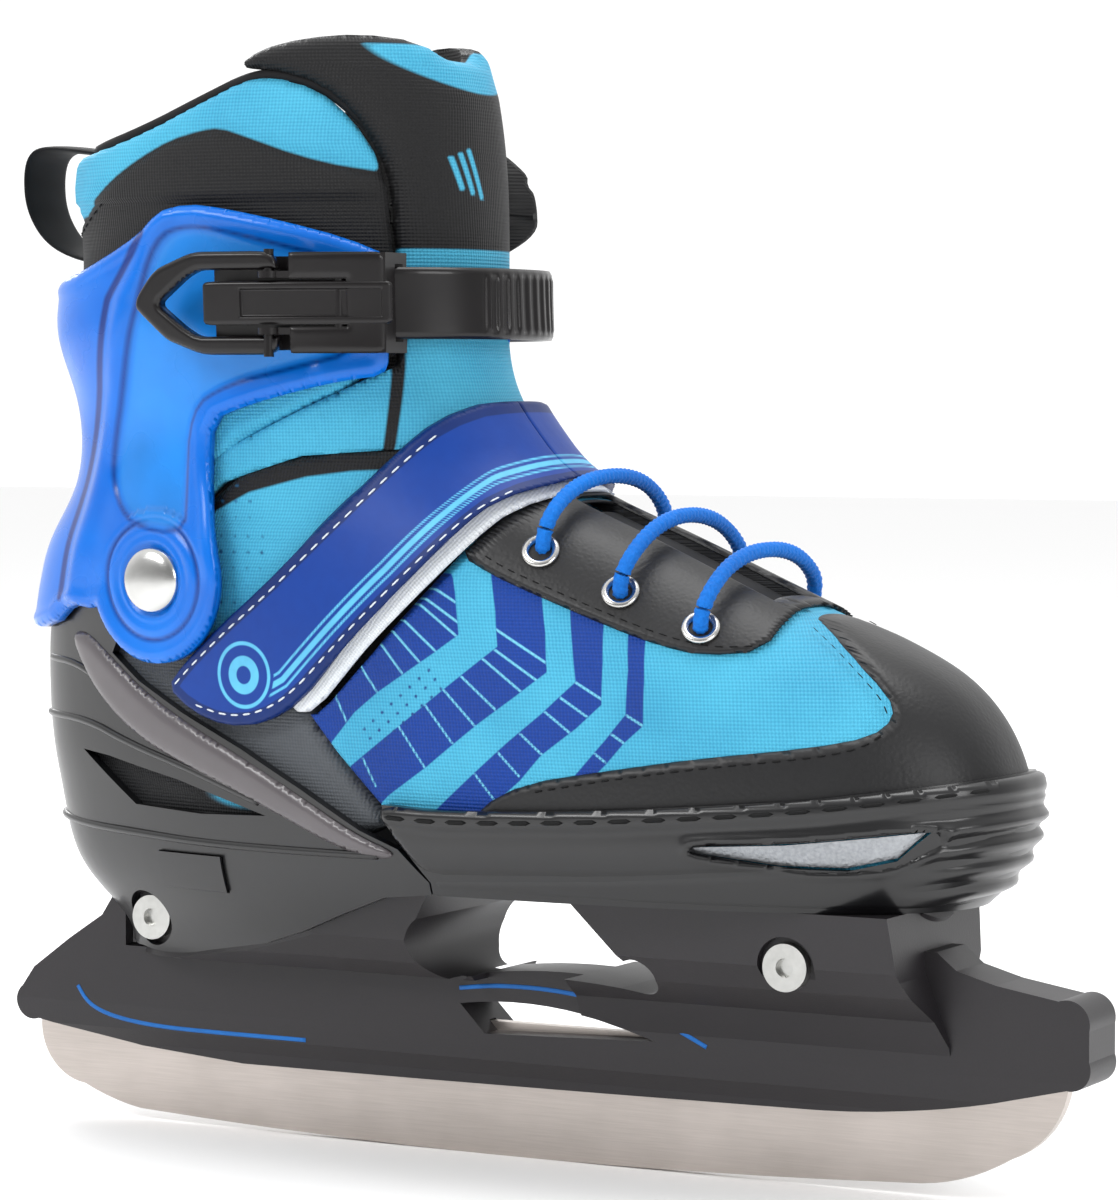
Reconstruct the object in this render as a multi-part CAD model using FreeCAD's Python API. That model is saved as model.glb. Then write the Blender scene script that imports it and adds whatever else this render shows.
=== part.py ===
"""Adjustable ice skate, right foot: soft boot in a two-part hard shell on a bladed holder.

Frame: millimetres, +X to the toe, +Y to the inner (medial) side, +Z up. The origin lies under the
middle of the skate, on the ice, at the lowest point of the blade.
"""
import FreeCAD, Part
import math
import os

V = FreeCAD.Vector

# ---- overall sizes -------------------------------------------------------------------------------
SKATE_LENGTH = 290.8        # heel of the holder to its nose
BOOT_HEIGHT = 269.0         # ice to the top of the tongue
BOOT_WIDTH = 96.0           # across the toe shell at the ball of the foot

# ---- walls, gaps and hardware --------------------------------------------------------------------
PADDING = 7.0               # soft boot, its outside is the reference surface
VAMP_CLOTH = 5.0
FIT_GAP = 0.3               # between a soft piece and a hard one
LAY_GAP = 0.1               # between a panel and the cloth it is sewn on
SHELL_WALL = 3.0
CUFF_WALL = 3.0
OVERLAY = 1.2               # sewn leather panels
UNDER_STRAP = 1.7
STRAP_CLOTH = 2.4
LADDER_WALL = 2.3
BLADE_THICKNESS = 3.0
BLADE_FIT = 0.05
BLADE_ROCKER = 1900.0
RUN_GAP = 0.1               # pivots, each side
TOE_TRAVEL = 15.0           # size adjustment
BOLT_SHANK = 3.0            # radii
BOLT_HEAD = 5.5
NUT_BODY = 4.2
CAP_RADIUS = 7.8
PIVOT_SHANK = 4.0
EAR_RADIUS = 20.2
PIN_RADIUS = 1.2
EYELET_BORE = 2.3
EYELET_RIM = 3.9
LACE_RADIUS = 1.5

LENGTH_REF, HEIGHT_REF, WIDTH_REF = 290.8, 269.0, 96.0


def px(x):
    """A place along the skate, drawn for the reference length."""
    return x * SKATE_LENGTH / LENGTH_REF


def py(y):
    """A place across the skate, drawn for the reference width."""
    return y * BOOT_WIDTH / WIDTH_REF


def pz(z):
    """A height, drawn for the reference height."""
    return z * BOOT_HEIGHT / HEIGHT_REF


# ---- the boot's form: level slices of its outer cloth surface --------------------------------------
# height, back, front, half width at the heel end, half width at the toe end
SLICES = [
    (44, -111, 91, 23.5, 29), (62, -120.5, 104, 27.5, 37), (74, -127.5, 117, 31.5, 43),
    (88, -130.5, 123, 34, 45.5), (100, -132.5, 121, 35, 45), (110, -133, 115.5, 35.5, 43.5),
    (120, -132.5, 104, 36.5, 41.5), (130, -131, 83, 37.5, 39), (140, -128, 60, 38, 36.5),
    (150, -123.5, 37, 37.5, 34.5), (160, -120, 14, 36.5, 33), (172, -118.5, 0, 36, 32),
    (185, -119.5, -8.5, 36.5, 32), (200, -122.5, -11.5, 37.5, 33), (215, -122, -12, 38, 34),
    (235, -123, -12.5, 39, 34.5), (255, -122, -15, 39, 34), (275, -120, -20, 39, 33),
]
BLUNTNESS = 0.8             # below 1 makes the ends of a slice blunt
TOE_SWING = 4.0             # the toes turn to the inner side
SLICE_POINTS = 20

# the cuff stands off the cloth by this much: height, gap
CUFF_STAND_OFF = [(44, 4.4), (150, 4.2), (160, 2.2), (172, 1.2), (187, 1.8), (200, 3.0), (215, 1.8),
                  (275, 1.0)]


def along(table, z, column=1):
    """Reads a column of a table at a height, straight between its rows."""
    for low, high in zip(table, table[1:]):
        if z <= high[0]:
            share = max(0.0, (z - low[0]) / (high[0] - low[0]))
            return low[column] + share * (high[column] - low[column])
    return table[-1][column]


def slope(column, z):
    """How far a column of SLICES moves for each millimetre of height."""
    return along(SLICES, z + 1, column) / 2 - along(SLICES, z - 1, column) / 2


def slice_wire(row, offset):
    """One closed level slice of the form, grown by offset square to the surface."""
    z, back, front, heel, fore = row
    back = px(back) - offset * math.hypot(1, slope(1, z))
    front = px(front) + offset * math.hypot(1, slope(2, z))
    middle, reach = (back + front) / 2, (front - back) / 2
    swing = TOE_SWING * min(1.0, max(0.0, (160 - z) / 40))
    points = []
    for n in range(SLICE_POINTS):
        turn = 2 * math.pi * n / SLICE_POINTS
        forward = (1 - math.cos(turn)) / 2
        half = py(heel + (fore - heel) * forward) + offset
        side = math.copysign(abs(math.sin(turn)) ** BLUNTNESS, math.sin(turn)) if n else 0.0
        if n * 2 == SLICE_POINTS:
            side = 0.0
        points.append(V(middle - reach * math.cos(turn), swing * forward ** 3 - half * side, pz(z)))
    curve = Part.BSplineCurve()
    curve.interpolate(Points=points, PeriodicFlag=True)
    return Part.Wire([curve.toShape()])


FORMS = {}


def form(offset, stand_off=False):
    """The solid inside the form's surface at an offset; with stand_off it is the cuff's surface."""
    key = (round(offset, 3), stand_off)
    if key not in FORMS:
        extra = [along(CUFF_STAND_OFF, row[0]) if stand_off else 0.0 for row in SLICES]
        wires = [slice_wire(row, offset + add) for row, add in zip(SLICES, extra)]
        FORMS[key] = Part.makeLoft(wires, True, False)
    return FORMS[key]


# ---- drawing helpers -----------------------------------------------------------------------------
def outline(points):
    """A closed side-view outline; a point of four numbers is an arc, through its first pair."""
    spots = [V(px(p[-2]), 0, pz(p[-1])) for p in points]
    edges = []
    for n, point in enumerate(points):
        start, end = spots[n - 1], spots[n]
        if len(point) == 4:
            edges.append(Part.Arc(start, V(px(point[0]), 0, pz(point[1])), end).toShape())
        else:
            edges.append(Part.LineSegment(start, end).toShape())
    return Part.Face(Part.Wire(edges))


def side_prism(points, y_from=-80.0, y_to=80.0):
    """A side-view outline carried across the skate."""
    face = outline(points)
    face.translate(V(0, y_from, 0))
    return face.extrude(V(0, y_to - y_from, 0))


def box(x0, x1, y0, y1, z0, z1):
    """A box between two corners."""
    return Part.makeBox(x1 - x0, y1 - y0, z1 - z0, V(x0, y0, z0))


def rod(radius, start, end):
    """A round bar from one point to another."""
    path = end - start
    return Part.makeCylinder(radius, path.Length, start, path)


def layer(inner, outer, region, stand_off=False):
    """The part of a region that lies between two offsets of the form."""
    return region.common(form(outer, stand_off)).cut(form(inner, stand_off))


def one(shape):
    """The solids of a shape, the largest first, without slivers."""
    solids = sorted(shape.Solids, key=lambda s: -s.Volume)
    solids = [s for s in solids if s.Volume > 0.02 * solids[0].Volume]
    return solids[0] if len(solids) == 1 else Part.makeCompound(solids)


def biggest(shape):
    """The largest solid of a shape."""
    return max(shape.Solids, key=lambda s: s.Volume)


def surface_normal(x, z, offset, side=-1):
    """The outward direction of the form's surface at a point."""
    here = surface_point(x, z, offset, side)
    ahead = surface_point(x + 1, z, offset, side) - here
    above = surface_point(x, z + 1, offset, side) - here
    return (ahead.cross(above) * -side).normalize()


def surface_point(x, z, offset, side=-1):
    """The point of the form's surface at a length and height, on the outer (-1) or inner side."""
    line = Part.makeLine(V(px(x), side * 90, pz(z)), V(px(x), 0, pz(z)))
    inside = form(offset).common(line)
    return V(px(x), max((v.Y * side for v in inside.Vertexes)) * side, pz(z))


# ---- places shared by several pieces ---------------------------------------------------------------
PIVOT = (-83.0, 139.0)                       # ankle pivot in the side view
FLOOR_BOTTOM, FLOOR_TOP = 67.0, 69.5         # floor of both shells
PLATE_BOTTOM, PLATE_TOP = 69.8, 72.2         # sole plate inside them
HOLDER_TOP = 66.8
BOLTS = [(-98.5, 54.2), (78.5, 54.0)]        # rear, front
BOLT_SEAT = [15.2, 22.5]                     # where the heads bear, from the middle
HEAD_POCKET = BOLT_HEAD + 1.6
SKIRT_TOP = 57.5                             # up to here the skirt is open at the back
SKIRT_NOTCH = 9.5                            # half width of the skirt's opening at the back
BUTTON_REACH = 18.5                          # the button's pocket ends this far from the middle
LUG_HALF = 8.0
BUTTON = (-88.5, -67.5, 63.4, 72.4)          # rear, front, bottom, top
STRAP_SPLIT = -4.0                           # the flap's fold lies this far to the outer side
LADDER_Z = (196.6, 213.4)
LEVER_PIN = (-45.0, 13.9)                    # place along the skate, offset from the cloth
TAB_PIN = (-29.0, 13.5)
LEVER_EYE = 2.6
TAB_EYE = 2.2

STRAP_TOP = [(-81.5, 113), (-76.1, 117.8), (-64.2, 127.1), (-51.3, 137.5), (-40.1, 147.5), (-27.9, 159),
             (-18.1, 170.5), (-11.2, 177.5), (-2.5, 182.5)]
STRAP_LOW = [(17.5, 164), (6.7, 159), (0.4, 152), (-12.4, 138.5), (-27.6, 124), (-41, 111), (-52, 105.5),
             (-63, 104.5), (-74, 107.6)]
WING_TOP = [(-24.4, 81.5), (-41.1, 90.5), (-58.5, 99), (-77.7, 107), (-91.9, 114), (-101, 120.5)]
RIM = [(-17.4, 88), (-2, 87.2), (40, 89.2), (87, 93), (117, 97), (135, 99.5)]


def shifted(points, dx, dz):
    """The same points moved in the side view."""
    return [(x + dx, z + dz) for x, z in points]


# ---- runner and holder -----------------------------------------------------------------------------
def make_blade():
    """A flat steel runner with a curved running edge and turned-up ends."""
    drop = 106.0 ** 2 / (2 * BLADE_ROCKER)
    profile = [(-143, 26), (-141.5, 15.5, -130, 8), (-122, 5, -113, drop), (-7, 0, 99, drop),
               (114, 5.6, 124, 10.4), (134, 18, 138, 27.5), (126, 32.5), (-130, 32.5)]
    return side_prism(profile, -BLADE_THICKNESS / 2, BLADE_THICKNESS / 2)


HOLDER_SIDE = [(-140, 24.8), (-146.2, 27.5, -144.6, 33), (-141, 38), (-130, 46), (-120, 52.5), (-117, 57),
               (-115, HOLDER_TOP), (105, HOLDER_TOP), (108.5, 57.5), (113.4, 53.5), (123, 50.8),
               (138, 48.3), (144.4, 46.6, 145.4, 42), (145.4, 35), (144.6, 30, 140, 28.3), (123, 24.2),
               (99, 20, 72, 18.4), (-5, 17.6, -80, 17.2), (-110, 19.6)]
BIG_WINDOW = [(-13, HOLDER_TOP + 1), (-18.1, 59.3), (-21, 48.5, -9, 45.1), (12, 46.6, 32, 45.2), (38, 44),
              (43, 47, 36.5, 52.6), (22, HOLDER_TOP + 1)]
LOW_WINDOW = [(-15.9, 37.3), (3, 38.4, 22.3, 36), (37, 31.8), (-9, 30.4)]


def holder_section(points):
    """A cross-section given as (half width, height) pairs from the bottom up, run along the skate."""
    right = [V(-160, w, pz(z)) for w, z in points]
    left = [V(-160, -w, pz(z)) for w, z in reversed(points)]
    return Part.Face(Part.makePolygon(right + left + right[:1])).extrude(V(320, 0, 0))


def make_holder():
    """Moulded holder: a slim rail over the whole length with two hollow towers standing on it."""
    body = side_prism(HOLDER_SIDE)
    rail = body.common(holder_section([(4.4, 16), (5, 20), (7.6, 24), (8, 30), (8, 70)]))
    tower = body.common(holder_section([(4, 22), (8, 34), (12, 42), (20, 48), (24.5, 54), (27, 70)]))
    rear = side_prism([(-118, 30), (-112, 46), (-110, 70), (-8, 70), (-8, 30)])
    front = side_prism([(18, 30), (18, 70), (104, 70), (106, 52), (112, 36), (112, 30)])
    collar = box(-160, 160, -60, 60, pz(SKIRT_TOP), pz(HOLDER_TOP) + 1).cut(form(-FIT_GAP))
    holder = rail.cut(collar).fuse(tower.common(rear).common(form(-FIT_GAP))).fuse(tower.common(front))
    for window in (BIG_WINDOW, LOW_WINDOW):
        holder = holder.cut(side_prism(window))
    slot = side_prism([(-143.4, 10), (-143.4, 28), (-130.3, 32.8), (126.3, 32.8), (138.4, 28), (138.4, 10)],
                      -BLADE_THICKNESS / 2 - BLADE_FIT, BLADE_THICKNESS / 2 + BLADE_FIT)
    holder = holder.cut(slot)
    for (x, z), seat in zip(BOLTS, BOLT_SEAT):
        half = LUG_HALF + FIT_GAP
        pocket = box(px(x) - 14.3, px(x) + 14.3, -half, half, pz(z) - 9, pz(HOLDER_TOP) + 1)
        holder = holder.cut(pocket)
        holder = holder.cut(rod(NUT_BODY + RUN_GAP, V(px(x), -40, pz(z)), V(px(x), 40, pz(z))))
        for side in (-1, 1):
            holder = holder.cut(rod(HEAD_POCKET, V(px(x), side * seat, pz(z)), V(px(x), side * 45, pz(z))))
    x0, x1, z0, _ = BUTTON
    return biggest(holder.cut(box(px(x0) - 1, px(x1) + 1, -60, -BUTTON_REACH, pz(z0) - 1, pz(80))))


def make_bolts():
    """Socket-head bolts, one through each tower, screwed into sleeve nuts from the other side."""
    bolts, nuts = [], []
    for (x, z), seat in zip(BOLTS, BOLT_SEAT):
        head = rod(BOLT_HEAD, V(px(x), -seat - 2.6, pz(z)), V(px(x), -seat - 0.05, pz(z)))
        socket = rod(2.2, V(px(x), -seat - 3, pz(z)), V(px(x), -seat - 1.0, pz(z)))
        shank = rod(BOLT_SHANK, V(px(x), -seat - 0.1, pz(z)), V(px(x), seat - 3, pz(z)))
        bolts.append(head.fuse(shank).cut(socket).removeSplitter())
        flange = rod(BOLT_HEAD, V(px(x), seat + 0.05, pz(z)), V(px(x), seat + 2.0, pz(z)))
        sleeve = rod(NUT_BODY, V(px(x), -seat + 2, pz(z)), V(px(x), seat + 0.1, pz(z)))
        bore = rod(BOLT_SHANK + BLADE_FIT, V(px(x), -40, pz(z)), V(px(x), seat - 2.5, pz(z)))
        nuts.append(flange.fuse(sleeve).cut(bore).removeSplitter())
    return Part.makeCompound(bolts), Part.makeCompound(nuts)


def make_sole_plate():
    """Stiff plate on the shells' floors, with a lug down into each tower for the bolts."""
    region = box(px(-116), px(93), -60, 60, pz(PLATE_BOTTOM), pz(PLATE_TOP))
    plate = region.common(form(-PADDING / 2))
    for x, z in BOLTS:
        lug = box(px(x) - 12, px(x) + 12, -LUG_HALF, LUG_HALF, pz(z) - 8, pz(PLATE_TOP) - 0.5)
        plate = plate.fuse(lug)
        plate = plate.cut(rod(NUT_BODY + RUN_GAP, V(px(x), -40, pz(z)), V(px(x), 40, pz(z))))
    return biggest(plate.removeSplitter())


# ---- hard shells -----------------------------------------------------------------------------------
HEEL_SIDE = [(-140, 58), (-116, 57.5), (-112, 49, -104, 46.6), (-91, 46, -80, 47.5), (-60, 51), (-47.5, 55),
             (-33.6, 60.5), (-20, 65.5), (-6.5, FLOOR_BOTTOM), (-6.5, 70), (-14, 77.6)] + WING_TOP + [
             (-97, 127), (-72, 139), (-74, 148, -84, 150.5), (-96, 150), (-112, 141), (-114, 131), (-140, 131)]
HEEL_VENT = [(-114, 96), (-104, 95), (-79.3, 90.5), (-52, 83.4), (-72.8, 82.6), (-95.2, 83.5)]
TOE_SIDE = [(-6, FLOOR_BOTTOM), (-6, 70), (-17.2, 84)] + RIM + [(140, FLOOR_BOTTOM)]
TOE_VENT = [(52, 81.6), (82, 83.2), (97, 85), (114, 87), (106, 79.6), (95.7, 77.2), (80, 77.6)]


def floor_slot(x, forward, backward):
    """The slot in a floor that a sole-plate lug passes through."""
    return box(px(x) - 12 - FIT_GAP - backward, px(x) + 12 + FIT_GAP + forward, -LUG_HALF - FIT_GAP,
               LUG_HALF + FIT_GAP, pz(FLOOR_BOTTOM) - 1, pz(FLOOR_TOP) + 1)


def shell_wall(side, vent):
    """A wall over a floor, cut to its side view and open at its vents."""
    region = side_prism(side)
    inner = form(FIT_GAP).cut(box(-170, 170, -80, 80, pz(FLOOR_BOTTOM), pz(FLOOR_TOP)))
    return region.common(form(FIT_GAP + SHELL_WALL)).cut(inner).cut(side_prism(vent))


def make_heel_shell():
    """Heel shell: floor, skirt over the rear tower, wings and the ankle lugs."""
    shell = shell_wall(HEEL_SIDE, HEEL_VENT)
    shell = shell.cut(floor_slot(BOLTS[0][0], 0, 0))
    x, z = BOLTS[0]
    shell = shell.cut(rod(HEAD_POCKET, V(px(x), -60, pz(z)), V(px(x), 60, pz(z))))
    shell = shell.cut(box(px(-140), px(-96), -SKIRT_NOTCH, SKIRT_NOTCH, pz(40), pz(SKIRT_TOP) + FIT_GAP))
    shell = shell.cut(rod(PIVOT_SHANK + RUN_GAP, pivot_point(-60), pivot_point(60)))
    x0, x1, z0, z1 = BUTTON
    shell = shell.cut(box(px(x0) - 0.2, px(x1) + 0.2, -60, -BUTTON_REACH, pz(z0) - 0.2, pz(z1) + 0.2))
    return biggest(shell)


def make_toe_shell():
    """Toe shell: floor, slot for the front lug and the two vent windows."""
    shell = shell_wall(TOE_SIDE, TOE_VENT)
    return biggest(shell.cut(floor_slot(BOLTS[1][0], 0, TOE_TRAVEL)))


def make_vent_screens():
    """Woven metal screens set in the toe shell's two windows."""
    region = side_prism([(54.5, 81.3), (82, 82.7), (97, 84.3), (111.5, 86), (105.6, 80.2), (95, 77.8),
                         (80.5, 78.1)])
    return one(layer(0.8, 1.6, region))


def make_size_button():
    """Push button that frees the toe shell to slide."""
    x0, x1, z0, z1 = BUTTON
    region = box(px(x0), px(x1), -60, 0, pz(z0), pz(z1))
    return biggest(layer(FIT_GAP + 1.2, FIT_GAP + SHELL_WALL + 1.0, region))


# ---- cuff ------------------------------------------------------------------------------------------
CUFF_SIDE = [(-145, 124.5), (-145, 210), (-112, 212), (-97, 217), (-86.3, 222), (-79.8, 227),
             (-72, 229, -62, 227.6), (-47.6, 224.5), (-33.7, 220.5), (-24.5, 216), (-24.5, 192),
             (-26, 188, -33.4, 187), (-42.8, 185), (-58, 181), (-67.5, 177.5, -68, 165.5), (-65.9, 154),
             (-63.2, 143.5)]


def pivot_point(y):
    """A point of the ankle axis."""
    return V(px(PIVOT[0]), y, pz(PIVOT[1]))


def make_cuff():
    """Ankle cuff: open at the front, turning on the two ankle rivets by its round ears."""
    rear = (-103, 131)
    region = side_prism(CUFF_SIDE + [(-70, 140), rear, (-112, 132.5), (-122, 126)])
    ear = rod(EAR_RADIUS, pivot_point(-80), pivot_point(80))
    cuff = layer(0, CUFF_WALL, region.fuse(ear), True)
    cuff = cuff.cut(rod(PIVOT_SHANK + RUN_GAP, pivot_point(-60), pivot_point(60)))
    for side in (-1, 1):
        face = pivot_point(side * cap_seat())
        cuff = cuff.cut(rod(CAP_RADIUS + 1.0, face, pivot_point(side * 80)))
    return biggest(cuff)


def cap_seat():
    """Distance of the rivet cap's seat from the middle of the skate."""
    return abs(surface_point(PIVOT[0], PIVOT[1], 0).y) + along(CUFF_STAND_OFF, PIVOT[1]) + CUFF_WALL * 0.55


def make_ankle_rivets():
    """Ankle rivets: a domed cap outside the cuff and a shank through cuff and shell."""
    rivets = []
    for side in (-1, 1):
        seat = cap_seat() + RUN_GAP
        inner = abs(surface_point(PIVOT[0], PIVOT[1], FIT_GAP).y) + 1.2
        cap = rod(CAP_RADIUS, pivot_point(side * seat), pivot_point(side * (seat + 1.8)))
        dome = rod(CAP_RADIUS - 1.5, pivot_point(side * (seat + 1.8)), pivot_point(side * (seat + 2.6)))
        shank = rod(PIVOT_SHANK, pivot_point(side * inner), pivot_point(side * (seat + 0.5)))
        rivets.append(cap.fuse([dome, shank]).removeSplitter())
    return Part.makeCompound(rivets)


# ---- soft boot -------------------------------------------------------------------------------------
LINER_BOTTOM = 72.8
QUARTER_TOP = [(-118, 137), (-84, 137.5), (-67, 163), (-45, 169.5), (-9, 172)]
COLLAR_LOW = [(-140, 147), (-90, 143), (-72, 167), (-22, 190.5)]
COLLAR_TOP = [(-24.2, 221), (-24.6, 232), (-27, 240), (-33, 249), (-41, 256), (-52.5, 259.5), (-60, 258.5),
              (-70.6, 254), (-89, 247), (-108, 243), (-140, 241)]


def make_heel_liner():
    """Rear half of the soft boot: heel, ankle sides and the instep under the strap."""
    low = [(-140, LINER_BOTTOM), (-10.5, LINER_BOTTOM), (-45.4, 112)]
    strap_edge = [(-41.6, 113), (-13, 141), (0, 155), (6, 162), (20, 167), (8, 173)]
    region = side_prism(low + strap_edge + list(reversed(QUARTER_TOP)) + [(-140, 137)])
    x0, x1, z0, z1 = BUTTON
    liner = layer(-PADDING, 0, region)
    return biggest(liner.cut(box(px(x0) - 1, px(x1) + 1, -60, -BUTTON_REACH, pz(z0), pz(z1) + 1)))


def make_collar():
    """Padded collar around the ankle, above the pivot."""
    return biggest(layer(-PADDING, 0, side_prism(COLLAR_LOW + COLLAR_TOP)))


def make_tongue():
    """Padded tongue standing between the collar's front edges."""
    region = [(-21, 197), (20, 197), (20, 258), (-16, 262), (-21, 267.5, -32, 269), (-45, 268), (-56, 265.5),
              (-62, 261.5), (-52, 260.4), (-40.5, 256.8), (-32.4, 249.6), (-26.4, 240.4), (-24, 232), (-23.6, 221)]
    return biggest(layer(-PADDING + 1, -LAY_GAP, side_prism(region)))


THROAT = (18.0, 70.0, 9.0)                   # start, end, half width


def throat_box(shrink=0.0):
    """The open throat between the two rows of eyelets."""
    x0, x1, half = THROAT
    return box(px(x0) + shrink, px(x1) - shrink, -half + shrink, half - shrink, pz(110), pz(180))


def make_vamp():
    """Cloth upper of the front half, from the toes up to the strap."""
    region = [(-5.6, LINER_BOTTOM), (-41.2, 108.2), (-37.4, 108), (-24.2, 120.9), (-9, 135.4), (3.8, 148.9),
              (10.2, 156), (20.8, 161.2), (26, 162), (140, 162), (140, LINER_BOTTOM)]
    vamp = layer(-VAMP_CLOTH, 0, side_prism(region)).cut(throat_box())
    for start, end, _ in eyelet_axes():
        vamp = vamp.cut(rod(VAMP_HOLE, start, end))
    return biggest(vamp)


def make_throat_lining():
    """Lining under the laces."""
    return biggest(layer(-VAMP_CLOTH + 1, -2.0, throat_box(FIT_GAP)))


def make_toe_cap():
    """Leather cap sewn over the toes, with a mudguard strip along the sides."""
    cap = [(8, 88.6), (20, 94.5), (40, 98), (62, 101.5), (88, 104.5), (100, 107), (104, 111), (102, 116), (90, 126.5),
           (76.5, 134.5), (78, 140), (140, 140), (140, 100.2), (117, 97.7), (87, 93.7), (40, 89.9)]
    return biggest(layer(LAY_GAP, OVERLAY, side_prism(cap)))


EYESTAY_SIDE = [(12, 156.2), (5.4, 148.6), (10, 141.6), (20, 136), (35.4, 130.6), (48, 126.8), (62, 124.4),
                (74.6, 125.6), (75.8, 134), (75, 145), (25, 166), (25, 160)]


def make_eyestays():
    """Leather stay along both sides of the throat, joined in front of it."""
    stay = layer(LAY_GAP, OVERLAY, side_prism(EYESTAY_SIDE)).cut(throat_box(-0.2))
    for start, end, _ in eyelet_axes():
        stay = stay.cut(rod(STAY_HOLE, start, end))
    return one(stay)


EYELETS = [(17.5, 147.2), (38.0, 138.2), (58.0, 130.4)]
STAY_HOLE = 3.0
VAMP_HOLE = 4.2


def eyelet_axes():
    """Start, end and outward direction of each eyelet's bore, outer side first."""
    axes = []
    for side in (-1, 1):
        for x, z in EYELETS:
            seat = surface_point(x, z, OVERLAY, side)
            out = surface_normal(x, z, OVERLAY, side)
            axes.append((seat - out * 12, seat + out * 6, out))
    return axes


def make_eyelets():
    """Six rolled metal eyelets."""
    rings = []
    for start, _, out in eyelet_axes():
        seat = start + out * 12
        flange = Part.makeCone(EYELET_RIM, EYELET_RIM - 0.7, 0.8, seat + out * 0.25, out)
        barrel = rod(EYELET_BORE + 0.45, seat - out * 1.3, seat + out * 0.6)
        bore = rod(EYELET_BORE, seat - out * 4, seat + out * 4)
        rings.append(flange.fuse(barrel).cut(bore).removeSplitter())
    return Part.makeCompound(rings)


# ---- laces -----------------------------------------------------------------------------------------
LACE_SHARE = 0.45


def lace_path(points):
    """Straight runs joined by tangent arcs as large as the two runs at each point allow."""
    edges, start = [], points[0]
    for n in range(1, len(points) - 1):
        before, here, after = points[n - 1], points[n], points[n + 1]
        incoming, outgoing = (before - here), (after - here)
        cut = LACE_SHARE * min(incoming.Length, outgoing.Length)
        incoming.normalize()
        outgoing.normalize()
        arc_start, arc_end = here + incoming * cut, here + outgoing * cut
        turn = math.pi - incoming.getAngle(outgoing)
        radius = cut / math.tan(turn / 2)
        bisector = (incoming + outgoing).normalize()
        middle = here + bisector * (math.hypot(radius, cut) - radius)
        print("lace bend %2d: radius %.1f mm, turn %.0f deg" % (n, radius, math.degrees(turn)))
        edges.append(Part.LineSegment(start, arc_start).toShape())
        edges.append(Part.Arc(arc_start, middle, arc_end).toShape())
        start = arc_end
    edges.append(Part.LineSegment(start, points[-1]).toShape())
    return Part.Wire(edges)


def lace_points():
    """The lace's route: over the throat from eyelet to eyelet and forward under the stays."""
    axes = eyelet_axes()
    seats = {(side, n): (axes[3 * (side > 0) + n][0] + axes[3 * (side > 0) + n][2] * 12,
                         axes[3 * (side > 0) + n][2])
             for side in (-1, 1) for n in range(3)}

    def inside(side, n, depth):
        seat, out = seats[(side, n)]
        return seat - out * depth

    def bar(side, n):
        seat_a, out_a = seats[(side, n)]
        seat_b, out_b = seats[(-side, n)]
        crest = max(seat_a.z, seat_b.z) + 18.5
        rise_a = seat_a + out_a * 8
        rise_b = seat_b + out_b * 8
        shoulder_a = V(rise_a.x + 1, rise_a.y * 0.45, crest - 1.5)
        shoulder_b = V(rise_b.x + 2, rise_b.y * 0.45, crest - 1.2)
        return [inside(side, n, 9), rise_a, shoulder_a, shoulder_b, rise_b, inside(-side, n, 9)]

    return bar(-1, 0) + bar(1, 1) + bar(-1, 2)


def make_laces():
    """One round lace along its whole route."""
    path = lace_path(lace_points())
    start = path.Edges[0]
    ring = Part.makeCircle(LACE_RADIUS, start.Vertexes[0].Point, start.tangentAt(start.FirstParameter))
    tube = path.makePipeShell([Part.Wire([ring])], True, False, 1)
    print("lace length %.0f mm, volume ratio %.4f" % (
        path.Length, tube.Volume / (math.pi * LACE_RADIUS ** 2 * path.Length)))
    return tube


# ---- instep strap ----------------------------------------------------------------------------------
def strap_region(y_from, y_to):
    """Side view of the instep strap, from its rounded end up over the instep."""
    return side_prism(STRAP_TOP + [(24, 186)] + STRAP_LOW, y_from, y_to)


STRAP_INNER = FIT_GAP + UNDER_STRAP + FIT_GAP


def make_strap_flap():
    """Outer half of the strap, which peels off the under-strap."""
    return biggest(layer(STRAP_INNER, STRAP_INNER + STRAP_CLOTH, strap_region(-80, STRAP_SPLIT - 0.15)))


def make_strap_base():
    """Inner half of the strap, sewn down on the inner side of the boot."""
    return biggest(layer(STRAP_INNER, STRAP_INNER + STRAP_CLOTH, strap_region(STRAP_SPLIT + 0.15, 80)))


def make_under_strap():
    """White hook-and-loop strap under the flap, a little lower than its edge."""
    band = STRAP_TOP[2:] + [(24, 186), (20, 162)] + shifted(STRAP_LOW[1:6], 2.6, -2.2) + [(-44, 108.5)]
    return biggest(layer(FIT_GAP, FIT_GAP + UNDER_STRAP, side_prism(band)))


# ---- buckle ----------------------------------------------------------------------------------------
BASE_INNER = 6.9
BASE_OUTER = 8.3
LADDER_INNER = 8.6
LADDER_OUTER = LADDER_INNER + LADDER_WALL
COVER_INNER = LADDER_OUTER + FIT_GAP
COVER_OUTER = 14.8


def outer_side(points):
    """A side-view region on the outer side of the skate only."""
    return side_prism(points, -90, 0)


def rectangle(x0, x1, z0, z1):
    """Corner points of an upright rectangle in the side view."""
    return [(x0, z0), (x1, z0), (x1, z1), (x0, z1)]


def pin_point(place, z):
    """A point of an upright buckle pin."""
    x, offset = place
    spot = surface_point(x, 205, offset)
    return V(spot.x, spot.y, pz(z))


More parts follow.
